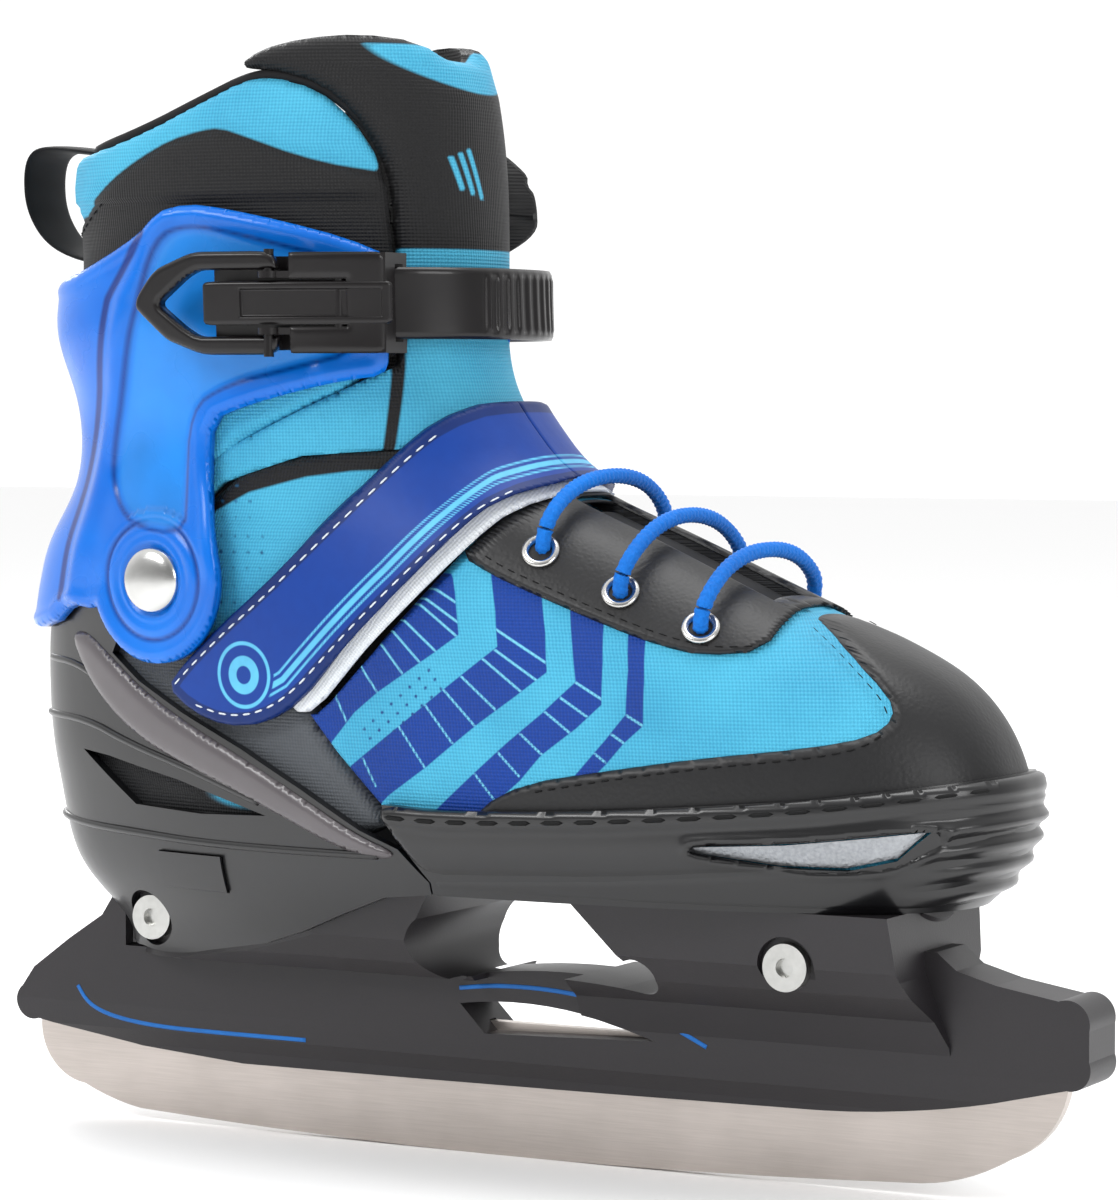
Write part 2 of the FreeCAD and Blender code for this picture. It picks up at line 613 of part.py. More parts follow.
def make_buckle_frame():
    """Buckle frame: base plate on the cuff, a tunnel for the ladder strap and two cheeks."""
    frame = layer(BASE_INNER, BASE_OUTER, outer_side(rectangle(-62, -18.5, 194, 216)))
    cover = layer(BASE_INNER, COVER_OUTER, outer_side(rectangle(-39.5, -18.5, 193.3, 216.7)))
    tunnel = layer(BASE_OUTER, COVER_INNER, outer_side(rectangle(-45, -10, 195.9, 214.1)))
    window = layer(BASE_OUTER, COVER_OUTER + 3, outer_side(rectangle(-45, -26.5, 199.4, 210.6)))
    frame = frame.fuse(cover).cut(tunnel).cut(window)
    eye = rod(LEVER_EYE, lever_pin(190), lever_pin(220))
    for z0, z1 in ((197.6, 199.2), (210.8, 212.4)):
        cheek = layer(COVER_INNER, COVER_OUTER, outer_side(rectangle(-45, -39, z0, z1)))
        slab = box(-200, 200, -90, 0, pz(z0), pz(z1))
        frame = frame.fuse(cheek).fuse(eye.common(slab))
    frame = frame.cut(rod(PIN_RADIUS + 0.02, lever_pin(180), lever_pin(230)))
    return biggest(frame.cut(rod(PIN_RADIUS + 0.02, tab_pin(180), tab_pin(230))))


def lever_pin(z):
    """A point of the lever's pin axis."""
    return pin_point(LEVER_PIN, z)


def tab_pin(z):
    """A point of the release tab's pin axis."""
    return pin_point(TAB_PIN, z)


def make_pins():
    """Stub pins of the lever and the through pin of the release tab."""
    stubs = [rod(PIN_RADIUS, lever_pin(low), lever_pin(low + 6.8)) for low in (192.4, 210.8)]
    return Part.makeCompound(stubs), rod(PIN_RADIUS, tab_pin(195.5), tab_pin(214.5))


def make_lever():
    """Buckle lever: a pointed loop whose two arms turn on the stub pins."""
    loop = [(-45, 192.9), (-62, 192.9), (-72, 196.5), (-80.5, 203.5, -80.5, 206.5), (-75, 213), (-64, 217.1),
            (-45, 217.1)]
    hole = [(-40, 197.2), (-64.5, 197.2), (-73.5, 205), (-64.5, 212.8), (-40, 212.8)]
    arms = layer(COVER_INNER + 0.8, COVER_OUTER + 0.4, outer_side(loop)).cut(side_prism(hole))
    eyes = rod(LEVER_EYE, lever_pin(192.9), lever_pin(197.2)).fuse(
        rod(LEVER_EYE, lever_pin(212.8), lever_pin(217.1)))
    lever = arms.fuse(eyes)
    return biggest(lever.cut(rod(PIN_RADIUS + RUN_GAP / 2, lever_pin(180), lever_pin(230))))


def make_release_tab():
    """Release tab between the lever's arms, turning on its own pin under the cover's window."""
    body = layer(COVER_INNER + 0.3, COVER_OUTER + 0.6, outer_side(rectangle(-62.5, -27.6, 199.8, 210.2)))
    tab = body.fuse(rod(TAB_EYE, tab_pin(199.8), tab_pin(210.2)))
    return biggest(tab.cut(rod(PIN_RADIUS + RUN_GAP / 2, tab_pin(180), tab_pin(230))))


def make_ladder():
    """Toothed strap from the inner side of the cuff across the tongue into the buckle."""
    outer = side_prism([(-44, LADDER_Z[0]), (30, LADDER_Z[0]), (30, LADDER_Z[1]), (-44, LADDER_Z[1])], -90, 0)
    inner = side_prism([(-52, LADDER_Z[0]), (30, LADDER_Z[0]), (30, LADDER_Z[1]), (-52, LADDER_Z[1])], 0, 90)
    return biggest(layer(LADDER_INNER, LADDER_OUTER, outer.fuse(inner)))


def make_ladder_mount():
    """Spacer plate that carries the strap on the inner side of the cuff."""
    plate = side_prism(rectangle(-56, -38, 195.5, 214.5), 0, 90)
    return biggest(layer(BASE_INNER, LADDER_INNER - 0.05, plate))


def make_ladder_screw():
    """Screw holding the ladder strap and its spacer to the cuff."""
    spot = surface_point(-46, 205, LADDER_OUTER, 1)
    out = surface_normal(-46, 205, LADDER_OUTER, 1)
    return rod(4.2, spot + out * 0.3, spot + out * 2.0)


def make_pull_loop():
    """Webbing pull loop on the back of the collar."""
    arch = [(-117, 215), (-136, 218.5), (-142.6, 226, -143.6, 236), (-143.6, 245), (-137, 247.5), (-117, 245),
            (-117, 242), (-137, 244), (-140.6, 243), (-140.6, 236), (-139, 228, -134, 221.6), (-117, 218)]
    loop = side_prism(arch, -9, 9)
    return biggest(loop.cut(form(LAY_GAP)))


def make_footbed():
    """Removable insole."""
    region = box(px(-116), px(98), -60, 60, pz(PLATE_TOP) + FIT_GAP, pz(PLATE_TOP) + FIT_GAP + 4.5)
    return biggest(region.common(form(-PADDING - 3)))


def build():
    """Every piece by its node name."""
    bolts, nuts = make_bolts()
    lever_pins, tab_pin_rod = make_pins()
    return {
        "blade": make_blade(), "blade_holder": make_holder(), "holder_bolts": bolts, "sleeve_nuts": nuts,
        "sole_plate": make_sole_plate(), "footbed": make_footbed(), "heel_shell": make_heel_shell(),
        "size_button": make_size_button(), "heel_liner": make_heel_liner(), "under_strap": make_under_strap(),
        "strap_base": make_strap_base(), "strap_flap": make_strap_flap(), "ankle_rivets": make_ankle_rivets(),
        "toe_shell": make_toe_shell(), "vent_screens": make_vent_screens(), "vamp": make_vamp(),
        "throat_lining": make_throat_lining(), "toe_cap": make_toe_cap(), "eyestays": make_eyestays(),
        "eyelets": make_eyelets(), "laces": make_laces(), "cuff": make_cuff(), "collar": make_collar(),
        "tongue": make_tongue(), "pull_loop": make_pull_loop(), "buckle_frame": make_buckle_frame(),
        "lever_pins": lever_pins, "tab_pin": tab_pin_rod, "buckle_lever": make_lever(),
        "release_tab": make_release_tab(), "ladder_strap": make_ladder(), "ladder_mount": make_ladder_mount(),
        "ladder_screw": make_ladder_screw(),
    }


os.makedirs("parts", exist_ok=True)
for name, shape in build().items():
    shape.exportStep("parts/%s.step" % name)
    limits = shape.BoundBox
    print("%-14s solids %d volume %9.1f  x %.1f..%.1f  y %.1f..%.1f  z %.1f..%.1f valid %s" % (
        name, len(shape.Solids), shape.Volume, limits.XMin, limits.XMax, limits.YMin, limits.YMax,
        limits.ZMin, limits.ZMax, shape.isValid()))
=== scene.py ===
"""Looks of an adjustable ice skate for the right foot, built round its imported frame.

Inside this file lengths are millimetres, +X to the toe, +Y to the inner side of the foot, +Z up.
Meshes are written in metres. Every soft or moulded wall is a patch of one surface, the last: a point
is given by a turn round the foot, a height and a stand-off, and a signed distance to an outline in
the side view says where the patch ends.
"""
import logging
import math
from collections.abc import Callable, Sequence
from dataclasses import dataclass
from enum import Enum

import bpy
import numpy as np
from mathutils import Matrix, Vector


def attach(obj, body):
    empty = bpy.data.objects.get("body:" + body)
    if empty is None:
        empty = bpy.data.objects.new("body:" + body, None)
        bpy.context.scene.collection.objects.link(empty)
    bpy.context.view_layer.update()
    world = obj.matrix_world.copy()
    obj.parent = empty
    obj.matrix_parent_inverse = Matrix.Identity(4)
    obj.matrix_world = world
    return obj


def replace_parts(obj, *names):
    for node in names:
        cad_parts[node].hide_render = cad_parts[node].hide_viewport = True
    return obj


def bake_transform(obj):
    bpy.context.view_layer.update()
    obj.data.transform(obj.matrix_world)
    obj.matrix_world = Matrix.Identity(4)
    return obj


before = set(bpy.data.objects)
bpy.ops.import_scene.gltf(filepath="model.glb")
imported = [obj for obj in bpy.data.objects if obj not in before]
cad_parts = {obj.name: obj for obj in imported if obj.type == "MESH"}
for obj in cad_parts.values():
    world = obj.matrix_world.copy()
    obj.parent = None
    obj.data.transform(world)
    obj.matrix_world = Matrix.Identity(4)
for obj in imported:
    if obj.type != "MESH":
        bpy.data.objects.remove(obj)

Array = np.ndarray
Pair = tuple[float, float]
Links = dict[str | int, bpy.types.NodeSocket]
Faceted = tuple[np.ndarray, list[list[int]]]
log = logging.getLogger("skate")
MM = 0.001
FULL_TURN = 2 * math.pi
# Distance between points of a line laid on the boot.
PATH_STEP = 1.5


class Side(Enum):
    """The two sides of the foot, valued by the sign of Y."""

    OUTER = -1
    INNER = 1


# ---- the last ------------------------------------------------------------------------------------
def spline(knots: Array, values: Array) -> Callable[[Array], Array]:
    """Natural cubic curve through points: second derivatives solve the usual three-term system.

    Args:
        knots: Rising places.
        values: The value at each place.

    Returns:
        A function of place, cubic between knots.
    """
    gap = np.diff(knots)
    size = len(knots)
    system = np.eye(size)
    right = np.zeros(size)
    for n in range(1, size - 1):
        system[n, n - 1:n + 2] = gap[n - 1], 2 * (gap[n - 1] + gap[n]), gap[n]
        right[n] = 6 * ((values[n + 1] - values[n]) / gap[n] - (values[n] - values[n - 1]) / gap[n - 1])
    bend = np.linalg.solve(system, right)

    def read(place: Array) -> Array:
        """The curve's value.

        Args:
            place: Where it is read.

        Returns:
            One value for each place.
        """
        n = np.clip(np.searchsorted(knots, place) - 1, 0, size - 2)
        width = gap[n]
        up, down = place - knots[n], knots[n + 1] - place
        cubic = (bend[n] * down ** 3 + bend[n + 1] * up ** 3) / (6 * width)
        linear = (values[n] / width - bend[n] * width / 6) * down
        return cubic + linear + (values[n + 1] / width - bend[n + 1] * width / 6) * up

    return read


class Last:
    """The boot's outer cloth surface: level super-ellipses between a heel line and a toe line."""

    ROWS = np.array([
        (44, -111, 91, 23.5, 29), (62, -120.5, 104, 27.5, 37), (74, -127.5, 117, 31.5, 43),
        (88, -130.5, 123, 34, 45.5), (100, -132.5, 121, 35, 45), (110, -133, 115.5, 35.5, 43.5),
        (120, -132.5, 104, 36.5, 41.5), (130, -131, 83, 37.5, 39), (140, -128, 60, 38, 36.5),
        (150, -123.5, 37, 37.5, 34.5), (160, -120, 14, 36.5, 33), (172, -118.5, 0, 36, 32),
        (185, -119.5, -8.5, 36.5, 32), (200, -122.5, -11.5, 37.5, 33), (215, -122, -12, 38, 34),
        (235, -123, -12.5, 39, 34.5), (255, -122, -15, 39, 34), (275, -120, -20, 39, 33)])
    BLUNTNESS = 0.8
    SWING = 4.0

    def __init__(self, stand_off: Sequence[Pair] = ((0, 0), (300, 0))) -> None:
        """Makes the curves of the four columns and of an extra stand-off.

        Args:
            stand_off: Pairs of height and the stand-off that is added there all round.
        """
        heights = self.ROWS[:, 0]
        self.curves = [spline(heights, self.ROWS[:, n]) for n in range(1, 5)]
        table = np.array(stand_off)
        self.extra = spline(heights, np.interp(heights, table[:, 0], table[:, 1]))

    def ends(self, z: Array, d: Array) -> tuple[Array, Array]:
        """Rear and front of the surface, each moved out square to its own slope.

        Args:
            z: Height.
            d: Stand-off from the cloth surface.

        Returns:
            The x of the heel line and the x of the toe line.
        """
        d = d + self.extra(z)
        out = []
        for curve, sign in zip(self.curves[:2], (-1, 1)):
            steep = (curve(z + 1) - curve(z - 1)) / 2
            out.append(curve(z) + sign * d * np.hypot(1, steep))
        return out[0], out[1]

    def point(self, turn: Array, z: Array, d: Array) -> Array:
        """Points of the surface.

        x runs from rear to front as the cosine of the turn. The half width goes from the heel's to the
        forefoot's in the same way and is multiplied by the turn's sine, raised to the bluntness. Low down,
        the toe swings inwards with the cube of the way forward.

        Args:
            turn: 0 at the heel, pi at the toe, outer side between them.
            z: Height.
            d: Stand-off from the cloth surface.

        Returns:
            Points, the last axis being x, y, z.
        """
        turn, z, d = np.broadcast_arrays(np.asarray(turn, float), z, d)
        back, front = self.ends(z, d)
        heel, fore = self.curves[2](z), self.curves[3](z)
        forward = (1 - np.cos(turn)) / 2
        half = heel + (fore - heel) * forward + d + self.extra(z)
        bow = np.abs(np.sin(turn)) ** self.BLUNTNESS * np.sign(np.sin(turn))
        swing = self.SWING * np.clip((160 - z) / 40, 0, 1) * forward ** 3
        x = (back + front) / 2 - (front - back) / 2 * np.cos(turn)
        return np.stack([x, swing - half * bow, z], axis=-1)

    def turn_at(self, x: Array, z: Array, d: Array, side: Side = Side.OUTER) -> Array:
        """The turn whose point lies at a given x: the cosine that x runs by, turned back.

        Args:
            x: Place along the skate.
            z: Height.
            d: Stand-off.
            side: Outer or inner side of the foot.

        Returns:
            Turns, below pi on the outer side and above it on the inner.
        """
        back, front = self.ends(np.asarray(z, float), d)
        turn = np.arccos(np.clip(((back + front) / 2 - x) / ((front - back) / 2), -1, 1))
        return turn if side is Side.OUTER else FULL_TURN - turn

    def at(self, x: Array, z: Array, d: Array, side: Side = Side.OUTER) -> Array:
        """Points of the surface above places in the side view."""
        return self.point(self.turn_at(np.asarray(x, float), z, d, side), z, d)


BOOT = Last()
# The cuff stands off the cloth, most of all low down where the shell and strap pass under it.
CUFF_FORM = Last(((44, 4.4), (150, 4.2), (160, 2.2), (172, 1.2), (187, 1.8), (200, 3.0), (215, 1.8),
                  (275, 1.0)))


# ---- fields in the side view ---------------------------------------------------------------------
def rounded(points: Sequence[Pair], passes: int = 2, closed: bool = True) -> Array:
    """Corner cutting: each run is replaced by its middle half, which rounds every corner.

    Args:
        points: Corners in order.
        passes: How often corners are cut.
        closed: Whether the last corner runs on to the first.

    Returns:
        The rounded line's points.
    """
    line = np.array(points, float)
    for _ in range(passes):
        ahead = np.roll(line, -1, axis=0)
        cut = np.stack([line * 0.75 + ahead * 0.25, line * 0.25 + ahead * 0.75], axis=1).reshape(-1, 2)
        line = cut if closed else np.vstack([line[:1], cut[:-2], line[-1:]])
    return line


def run_distance(spots: Array, line: Array, closed: bool = False) -> Array:
    """Distance from side-view spots to a line of runs: the least over the runs.

    Args:
        spots: Pairs of x and z.
        line: The line's points.
        closed: Whether the last point runs on to the first.

    Returns:
        One distance for each spot.
    """
    best = np.full(spots.shape[:-1], np.inf)
    count = len(line) if closed else len(line) - 1
    for n in range(count):
        start, path = line[n], line[(n + 1) % len(line)] - line[n]
        share = np.clip(((spots - start) @ path) / max(path @ path, 1e-9), 0, 1)
        best = np.minimum(best, np.linalg.norm(spots - start - share[..., None] * path, axis=-1))
    return best


def signed(spots: Array, outline: Array) -> Array:
    """Signed distance to an outline: inside is where a level ray crosses it an odd number of times.

    Args:
        spots: Pairs of x and z.
        outline: The outline's points.

    Returns:
        Distances, below zero inside.
    """
    inside = np.zeros(spots.shape[:-1], bool)
    x, z = spots[..., 0], spots[..., 1]
    for start, end in zip(outline, np.roll(outline, -1, axis=0)):
        if start[1] != end[1]:
            crossing = (start[1] > z) != (end[1] > z)
            inside ^= crossing & (x < (end[0] - start[0]) * (z - start[1]) / (end[1] - start[1]) + start[0])
    return np.where(inside, -1, 1) * run_distance(spots, outline, True)


def side_view(points: Array) -> Array:
    """The x and z of points."""
    return points[..., [0, 2]]


Region = Callable[[Array], Array]


def shape(points: Sequence[Pair], passes: int = 2, gap: float = 0.0) -> Region:
    """A region inside an outline with rounded corners, the same on both sides.

    Args:
        points: Corners of the outline.
        passes: How often corners are cut.
        gap: Spacing of points put along it first, which keeps the rounding to about that size.

    Returns:
        The signed distance, as a function of points in space.
    """
    line = resampled(np.array([*points, points[0]], float), gap)[:-1] if gap else points
    outline = rounded(line, passes)
    return lambda spots: signed(side_view(spots), outline)


def less(region: Region, *holes: Region) -> Region:
    """A region with holes: the greater of its distance and each hole's, turned over."""
    return lambda spots: np.maximum.reduce([region(spots)] + [-hole(spots) for hole in holes])


def one_side(region: Region, side: Side, edge: float = 0.0) -> Region:
    """A region cut off at a plane along the skate."""
    return lambda spots: np.maximum(region(spots), (edge - spots[..., 1]) * side.value)


# ---- meshes --------------------------------------------------------------------------------------
def mesh_piece(name: str, body: str, slot: str, points: Array, faces: Sequence[Sequence[int]],
               uv: Array | None = None, fields: dict[str, Array] | None = None) -> bpy.types.Object:
    """Writes one piece.

    Args:
        name: Piece name.
        body: The body it rides on; empty for a piece that lies between two and rides on neither.
        slot: The record's material slot; not used.
        points: Vertices in millimetres.
        faces: Corner numbers of each face, seen from outside anticlockwise.
        uv: One millimetre pair for each vertex.
        fields: Named numbers, one for each vertex.

    Returns:
        The piece's object, riding on its body.
    """
    mesh = bpy.data.meshes.new(name)
    mesh.from_pydata((np.asarray(points, float) * MM).tolist(), [], [list(face) for face in faces])
    if uv is not None:
        corners = np.zeros(len(mesh.loops), np.int32)
        mesh.loops.foreach_get("vertex_index", corners)
        pairs = np.asarray(uv)[corners].astype(np.float32)
        mesh.uv_layers.new(name="cloth").data.foreach_set("uv", pairs.ravel())
    for label, values in (fields or {}).items():
        mesh.attributes.new(label, "FLOAT", "POINT").data.foreach_set("value", values.astype(np.float32))
    mesh.polygons.foreach_set("use_smooth", np.full(len(mesh.polygons), True))
    mesh.validate()
    piece = bpy.data.objects.new(name, mesh)
    bpy.context.scene.collection.objects.link(piece)
    if body:
        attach(piece, body)
    log.info("%s: %d faces on %s", name, len(faces), body)
    return piece


# How far from an edge, in cells, a spot of the grid is moved on to it, and the field of a fully inked wall.
EDGE_REACH = 0.62
FULL_INK = -2.0


@dataclass(frozen=True)
class Patch:
    """A wall lying on the last, between two stand-offs and trimmed by a region.

    The grid of turns and heights is cut where the region's distance passes zero: spots within a cell
    of the edge are moved on to it, down the slope of the distance, and cells with every corner inside
    are kept. Edge round lowers the outer stand-off along a quarter circle near the edge. Lining names
    the ink that covers the inner wall.
    """

    region: Region
    outer: float | Callable[[Array, Array], Array]
    inner: float
    heights: Pair
    turns: Pair = (0.0, FULL_TURN)
    steps: tuple[int, int] = (520, 90)
    edge_round: float = 1.0
    edge_drop: float = 0.8
    lined: bool = False
    lining: str = ""
    form: Last = BOOT
    fields: Callable[[Array], dict[str, Array]] | None = None

    def build(self, name: str, body: str, slot: str) -> bpy.types.Object:
        """Works out the grid, trims it, raises both walls and writes the piece.

        Args:
            name: Piece name.
            body: The body it rides on; empty for a piece that lies between two and rides on neither.
            slot: The record's material slot.

        Returns:
            The piece's object.
        """
        count, rows = self.steps
        around = abs(self.turns[1] - self.turns[0] - FULL_TURN) < 1e-6
        turn = np.linspace(*self.turns, count, endpoint=not around)
        turn, z = np.meshgrid(turn, np.linspace(*self.heights, rows), indexing="ij")
        base = 0.0 if callable(self.outer) else self.outer
        spots = self.form.point(turn, z, base)
        away = self.region(spots)
        across = (np.roll(away, -1, 0) - np.roll(away, 1, 0)) / 2 if around else np.gradient(away, axis=0)
        upward = np.gradient(away, axis=1)
        steep = across ** 2 + upward ** 2 + 1e-9
        near = np.abs(away) < EDGE_REACH * np.sqrt(steep)
        turn_step, z_step = turn[1, 0] - turn[0, 0], z[0, 1] - z[0, 0]
        turn = turn - np.where(near, away * across / steep, 0) * turn_step
        z = z - np.where(near, away * upward / steep, 0) * z_step
        spots = self.form.point(turn, z, base)
        away = np.where(near, 0.0, away)
        kept = away <= 1e-6
        depth = np.clip((self.edge_round + away) / self.edge_round, 0, 1)
        drop = self.edge_drop * (1 - np.sqrt(1 - depth ** 2))
        height = self.outer(spots, away) if callable(self.outer) else self.outer
        outer = self.form.point(turn, z, height - drop)
        inner = self.form.point(turn, z, self.inner)
        stretch = np.linalg.norm(np.diff(spots, axis=0), axis=-1)
        along = np.vstack([np.zeros((1, rows)), np.cumsum(stretch, axis=0)])
        uv = np.stack([along, z], axis=-1)
        return self.write(name, body, slot, outer, inner, spots, uv, kept, around)

    def write(self, name: str, body: str, slot: str, outer: Array, inner: Array, spots: Array, uv: Array,
              kept: Array, around: bool) -> bpy.types.Object:
        """Joins the kept cells, walls up every open edge and writes the mesh.

        Args:
            name: Piece name.
            body: The body it rides on.
            slot: The record's material slot.
            outer: Grid of points of the outer wall.
            inner: Grid of points of the inner wall.
            spots: Grid of points that the region was read at.
            uv: Grid of millimetre pairs along the cloth.
            kept: Which spots of the grid stay.
            around: Whether the grid closes on itself round the foot.

        Returns:
            The piece's object.
        """
        count, rows = kept.shape
        index = np.arange(count * rows).reshape(count, rows)
        following = np.roll(index, -1, 0) if around else index[1:]
        first = index if around else index[:-1]
        cells = np.stack([first[:, :-1], following[:, :-1], following[:, 1:], first[:, 1:]], -1).reshape(-1, 4)
        good = kept.ravel()[cells]
        quads = cells[good.all(1)]
        corner = cells[good.sum(1) == 3]
        corner_good = kept.ravel()[corner]
        triangles = corner[corner_good].reshape(-1, 3)
        edges = np.vstack([quads[:, [0, 1]], quads[:, [1, 2]], quads[:, [2, 3]], quads[:, [3, 0]],
                           triangles[:, [0, 1]], triangles[:, [1, 2]], triangles[:, [2, 0]]])
        total = count * rows
        code = edges[:, 0] * total + edges[:, 1]
        rim = edges[~np.isin(code, edges[:, 1] * total + edges[:, 0])]
        walls = np.stack([rim[:, 1], rim[:, 0], rim[:, 0] + total, rim[:, 1] + total], -1)
        parts = [quads, walls] + ([quads[:, ::-1] + total] if self.lined else [])
        corners = [triangles] + ([triangles[:, ::-1] + total] if self.lined else [])
        used = np.unique(np.concatenate([p.ravel() for p in parts + corners]))
        fresh = np.full(2 * total, -1)
        fresh[used] = np.arange(len(used))
        points = np.vstack([outer.reshape(-1, 3), inner.reshape(-1, 3)])[used]
        faces = [face for group in parts + corners for face in fresh[group].tolist()]
        fields = {}
        if self.fields is not None:
            fields = self.fields(np.vstack([spots.reshape(-1, 3)] * 2)[used])
        if self.lining:
            fields[self.lining] = np.where(used >= total, FULL_INK, fields[self.lining])
        uv_used = np.vstack([uv.reshape(-1, 2)] * 2)[used]
        return mesh_piece(name, body, slot, points, faces, uv_used, fields)


def resampled(line: Array, gap: float) -> Array:
    """The same line with points a fixed gap apart along it.

    Args:
        line: Points in any number of columns.
        gap: Distance between points.

    Returns:
        The new points.
    """
    length = np.concatenate([[0], np.cumsum(np.linalg.norm(np.diff(line, axis=0), axis=1))])
    places = np.linspace(0, length[-1], max(2, int(round(length[-1] / gap)) + 1))
    return np.stack([np.interp(places, length, line[:, n]) for n in range(line.shape[1])], axis=-1)


def over(line: Sequence[Pair], d: float, side: Side) -> Array:
    """A side-view line laid on the boot's surface, as points in space."""
    flat = resampled(rounded(line, closed=False), PATH_STEP)
    return BOOT.at(flat[:, 0], flat[:, 1], d, side)


def tube(line: Array, radius: float, sides: int, squash: float, up: Array) -> Faceted:
    """A round or oval bar along a line: a ring of points at each point of the line, and two fans.

    Args:
        line: Points of the middle line.
        radius: Half the bar's width.
        sides: Points in each ring.
        squash: Height over width.
        up: Direction of the flattened height at each point.

    Returns:
        Points and faces.
    """
    ahead = np.gradient(line, axis=0)
    ahead /= np.linalg.norm(ahead, axis=1, keepdims=True)
    across = np.cross(ahead, up)
    across /= np.linalg.norm(across, axis=1, keepdims=True)
    lift = np.cross(across, ahead)
    angle = np.arange(sides) * FULL_TURN / sides
    ring = radius * (np.cos(angle)[None, :, None] * across[:, None]
                     + squash * np.sin(angle)[None, :, None] * lift[:, None])
    points = (line[:, None] + ring).reshape(-1, 3)
    index = np.arange(len(points)).reshape(len(line), sides)
    ahead_index = np.roll(index, -1, 1)
    quads = np.stack([index[:-1], index[1:], ahead_index[1:], ahead_index[:-1]], -1).reshape(-1, 4).tolist()
    return points, quads + [index[0].tolist(), index[-1][::-1].tolist()]


def lathe(profile: Sequence[Pair], centre: Array, axis: Array, sides: int = 40) -> Faceted:
    """A turned shape: each radius of the profile times a unit circle, raised by its height.

    Args:
        profile: Pairs of radius and height, from the bottom's outside.
        centre: Where height is zero.
        axis: Direction of height.
        sides: Points round the axis.

    Returns:
        Points and faces.
    """
    axis = np.asarray(axis, float) / np.linalg.norm(axis)
    first = np.cross(axis, [0.1, 0.2, 1.0] if abs(axis[2]) < 0.9 else [1.0, 0.0, 0.0])
    first /= np.linalg.norm(first)
    second = np.cross(axis, first)
    rows = np.array(profile, float)
    angle = np.arange(sides) * FULL_TURN / sides
    round_ring = np.cos(angle)[:, None] * first + np.sin(angle)[:, None] * second
    points = centre + rows[:, None, :1] * round_ring[None] + rows[:, None, 1:] * axis
    index = np.arange(len(rows) * sides).reshape(len(rows), sides)
    ahead = np.roll(index, -1, 1)
    quads = np.stack([index[:-1], ahead[:-1], ahead[1:], index[1:]], -1).reshape(-1, 4).tolist()
    return points.reshape(-1, 3), quads + [index[0][::-1].tolist(), index[-1].tolist()]


def joined(parts: Sequence[Faceted]) -> Faceted:
    """Several shapes as one.

    Args:
        parts: Points and faces of each.

    Returns:
        All points and all faces.
    """
    points, faces, start = [], [], 0
    for spots, corners in parts:
        points.append(spots)
        faces += [[n + start for n in face] for face in corners]
        start += len(spots)
    return np.vstack(points), faces


def stitch_shapes(line: Array, normal: Array, length: float, gap: float, width: float) -> Faceted:
    """Sewing thread seen from outside: one small pointed bead for each stitch along a line.

    Args:
        line: Points along the seam.
        normal: Outward direction at each point.
        length: Length of a stitch.
        gap: Space between stitches.
        width: Width of the thread.

    Returns:
        Points and faces.
    """
    dense = resampled(np.hstack([line, normal]), length + gap)
    middle = (dense[:-1] + dense[1:]) / 2
    spot, out = middle[:, :3], middle[:, 3:]
    ahead = np.diff(dense[:, :3], axis=0)
    ahead /= np.linalg.norm(ahead, axis=1, keepdims=True)
    out = out / np.linalg.norm(out, axis=1, keepdims=True)
    across = np.cross(out, ahead)
    bead = np.array([(-.5, 0, 0), (-.3, -.5, .1), (-.3, .5, .1), (-.3, 0, .6), (.3, -.5, .1), (.3, .5, .1),
                     (.3, 0, .6), (.5, 0, 0)])
    corners = [[0, 2, 3], [0, 3, 1], [1, 3, 6, 4], [3, 2, 5, 6], [4, 6, 7], [6, 5, 7], [0, 1, 4, 7],
               [0, 7, 5, 2]]
    parts = bead * [length, width, width]
    points = (spot[:, None] + parts[None, :, :1] * ahead[:, None] + parts[None, :, 1:2] * across[:, None]
              + parts[None, :, 2:] * out[:, None])
    faces = [[n + 8 * k for n in face] for k in range(len(spot)) for face in corners]
    return points.reshape(-1, 3), faces


def surface_out(points: Array, d: float) -> Array:
    """Outward directions at points of the boot's surface: the way to the next stand-off.

    Args:
        points: Points on the surface.
        d: Their stand-off.

    Returns:
        Unit directions.
    """
    x, z = points[:, 0], points[:, 2]
    turn = np.where(points[:, 1] < 0, BOOT.turn_at(x, z, d, Side.OUTER), BOOT.turn_at(x, z, d, Side.INNER))
    move = BOOT.point(turn, z, d + 1) - BOOT.point(turn, z, d)
    return move / np.linalg.norm(move, axis=1, keepdims=True)


def sew(name: str, body: str, slot: str, lines: Sequence[Sequence[Pair]], d: float, sides: Sequence[Side],
        length: float = 2.2, gap: float = 1.2, width: float = 0.55) -> bpy.types.Object:
    """Rows of stitches along side-view lines on the boot.

    Args:
        name: Piece name.
        body: The body it rides on.
        slot: The record's material slot.
        lines: Side-view lines.
        d: Stand-off of the sewn surface.
        sides: Which sides of the foot get them.
        length: Length of a stitch.
        gap: Space between stitches.
        width: Width of the thread.

    Returns:
        The piece's object.
    """
    parts = []
    for line in lines:
        for side in sides:
            path = over(line, d, side)
            parts.append(stitch_shapes(path, surface_out(path, d), length, gap, width))
    points, faces = joined(parts)
    return mesh_piece(name, body, slot, points, faces)


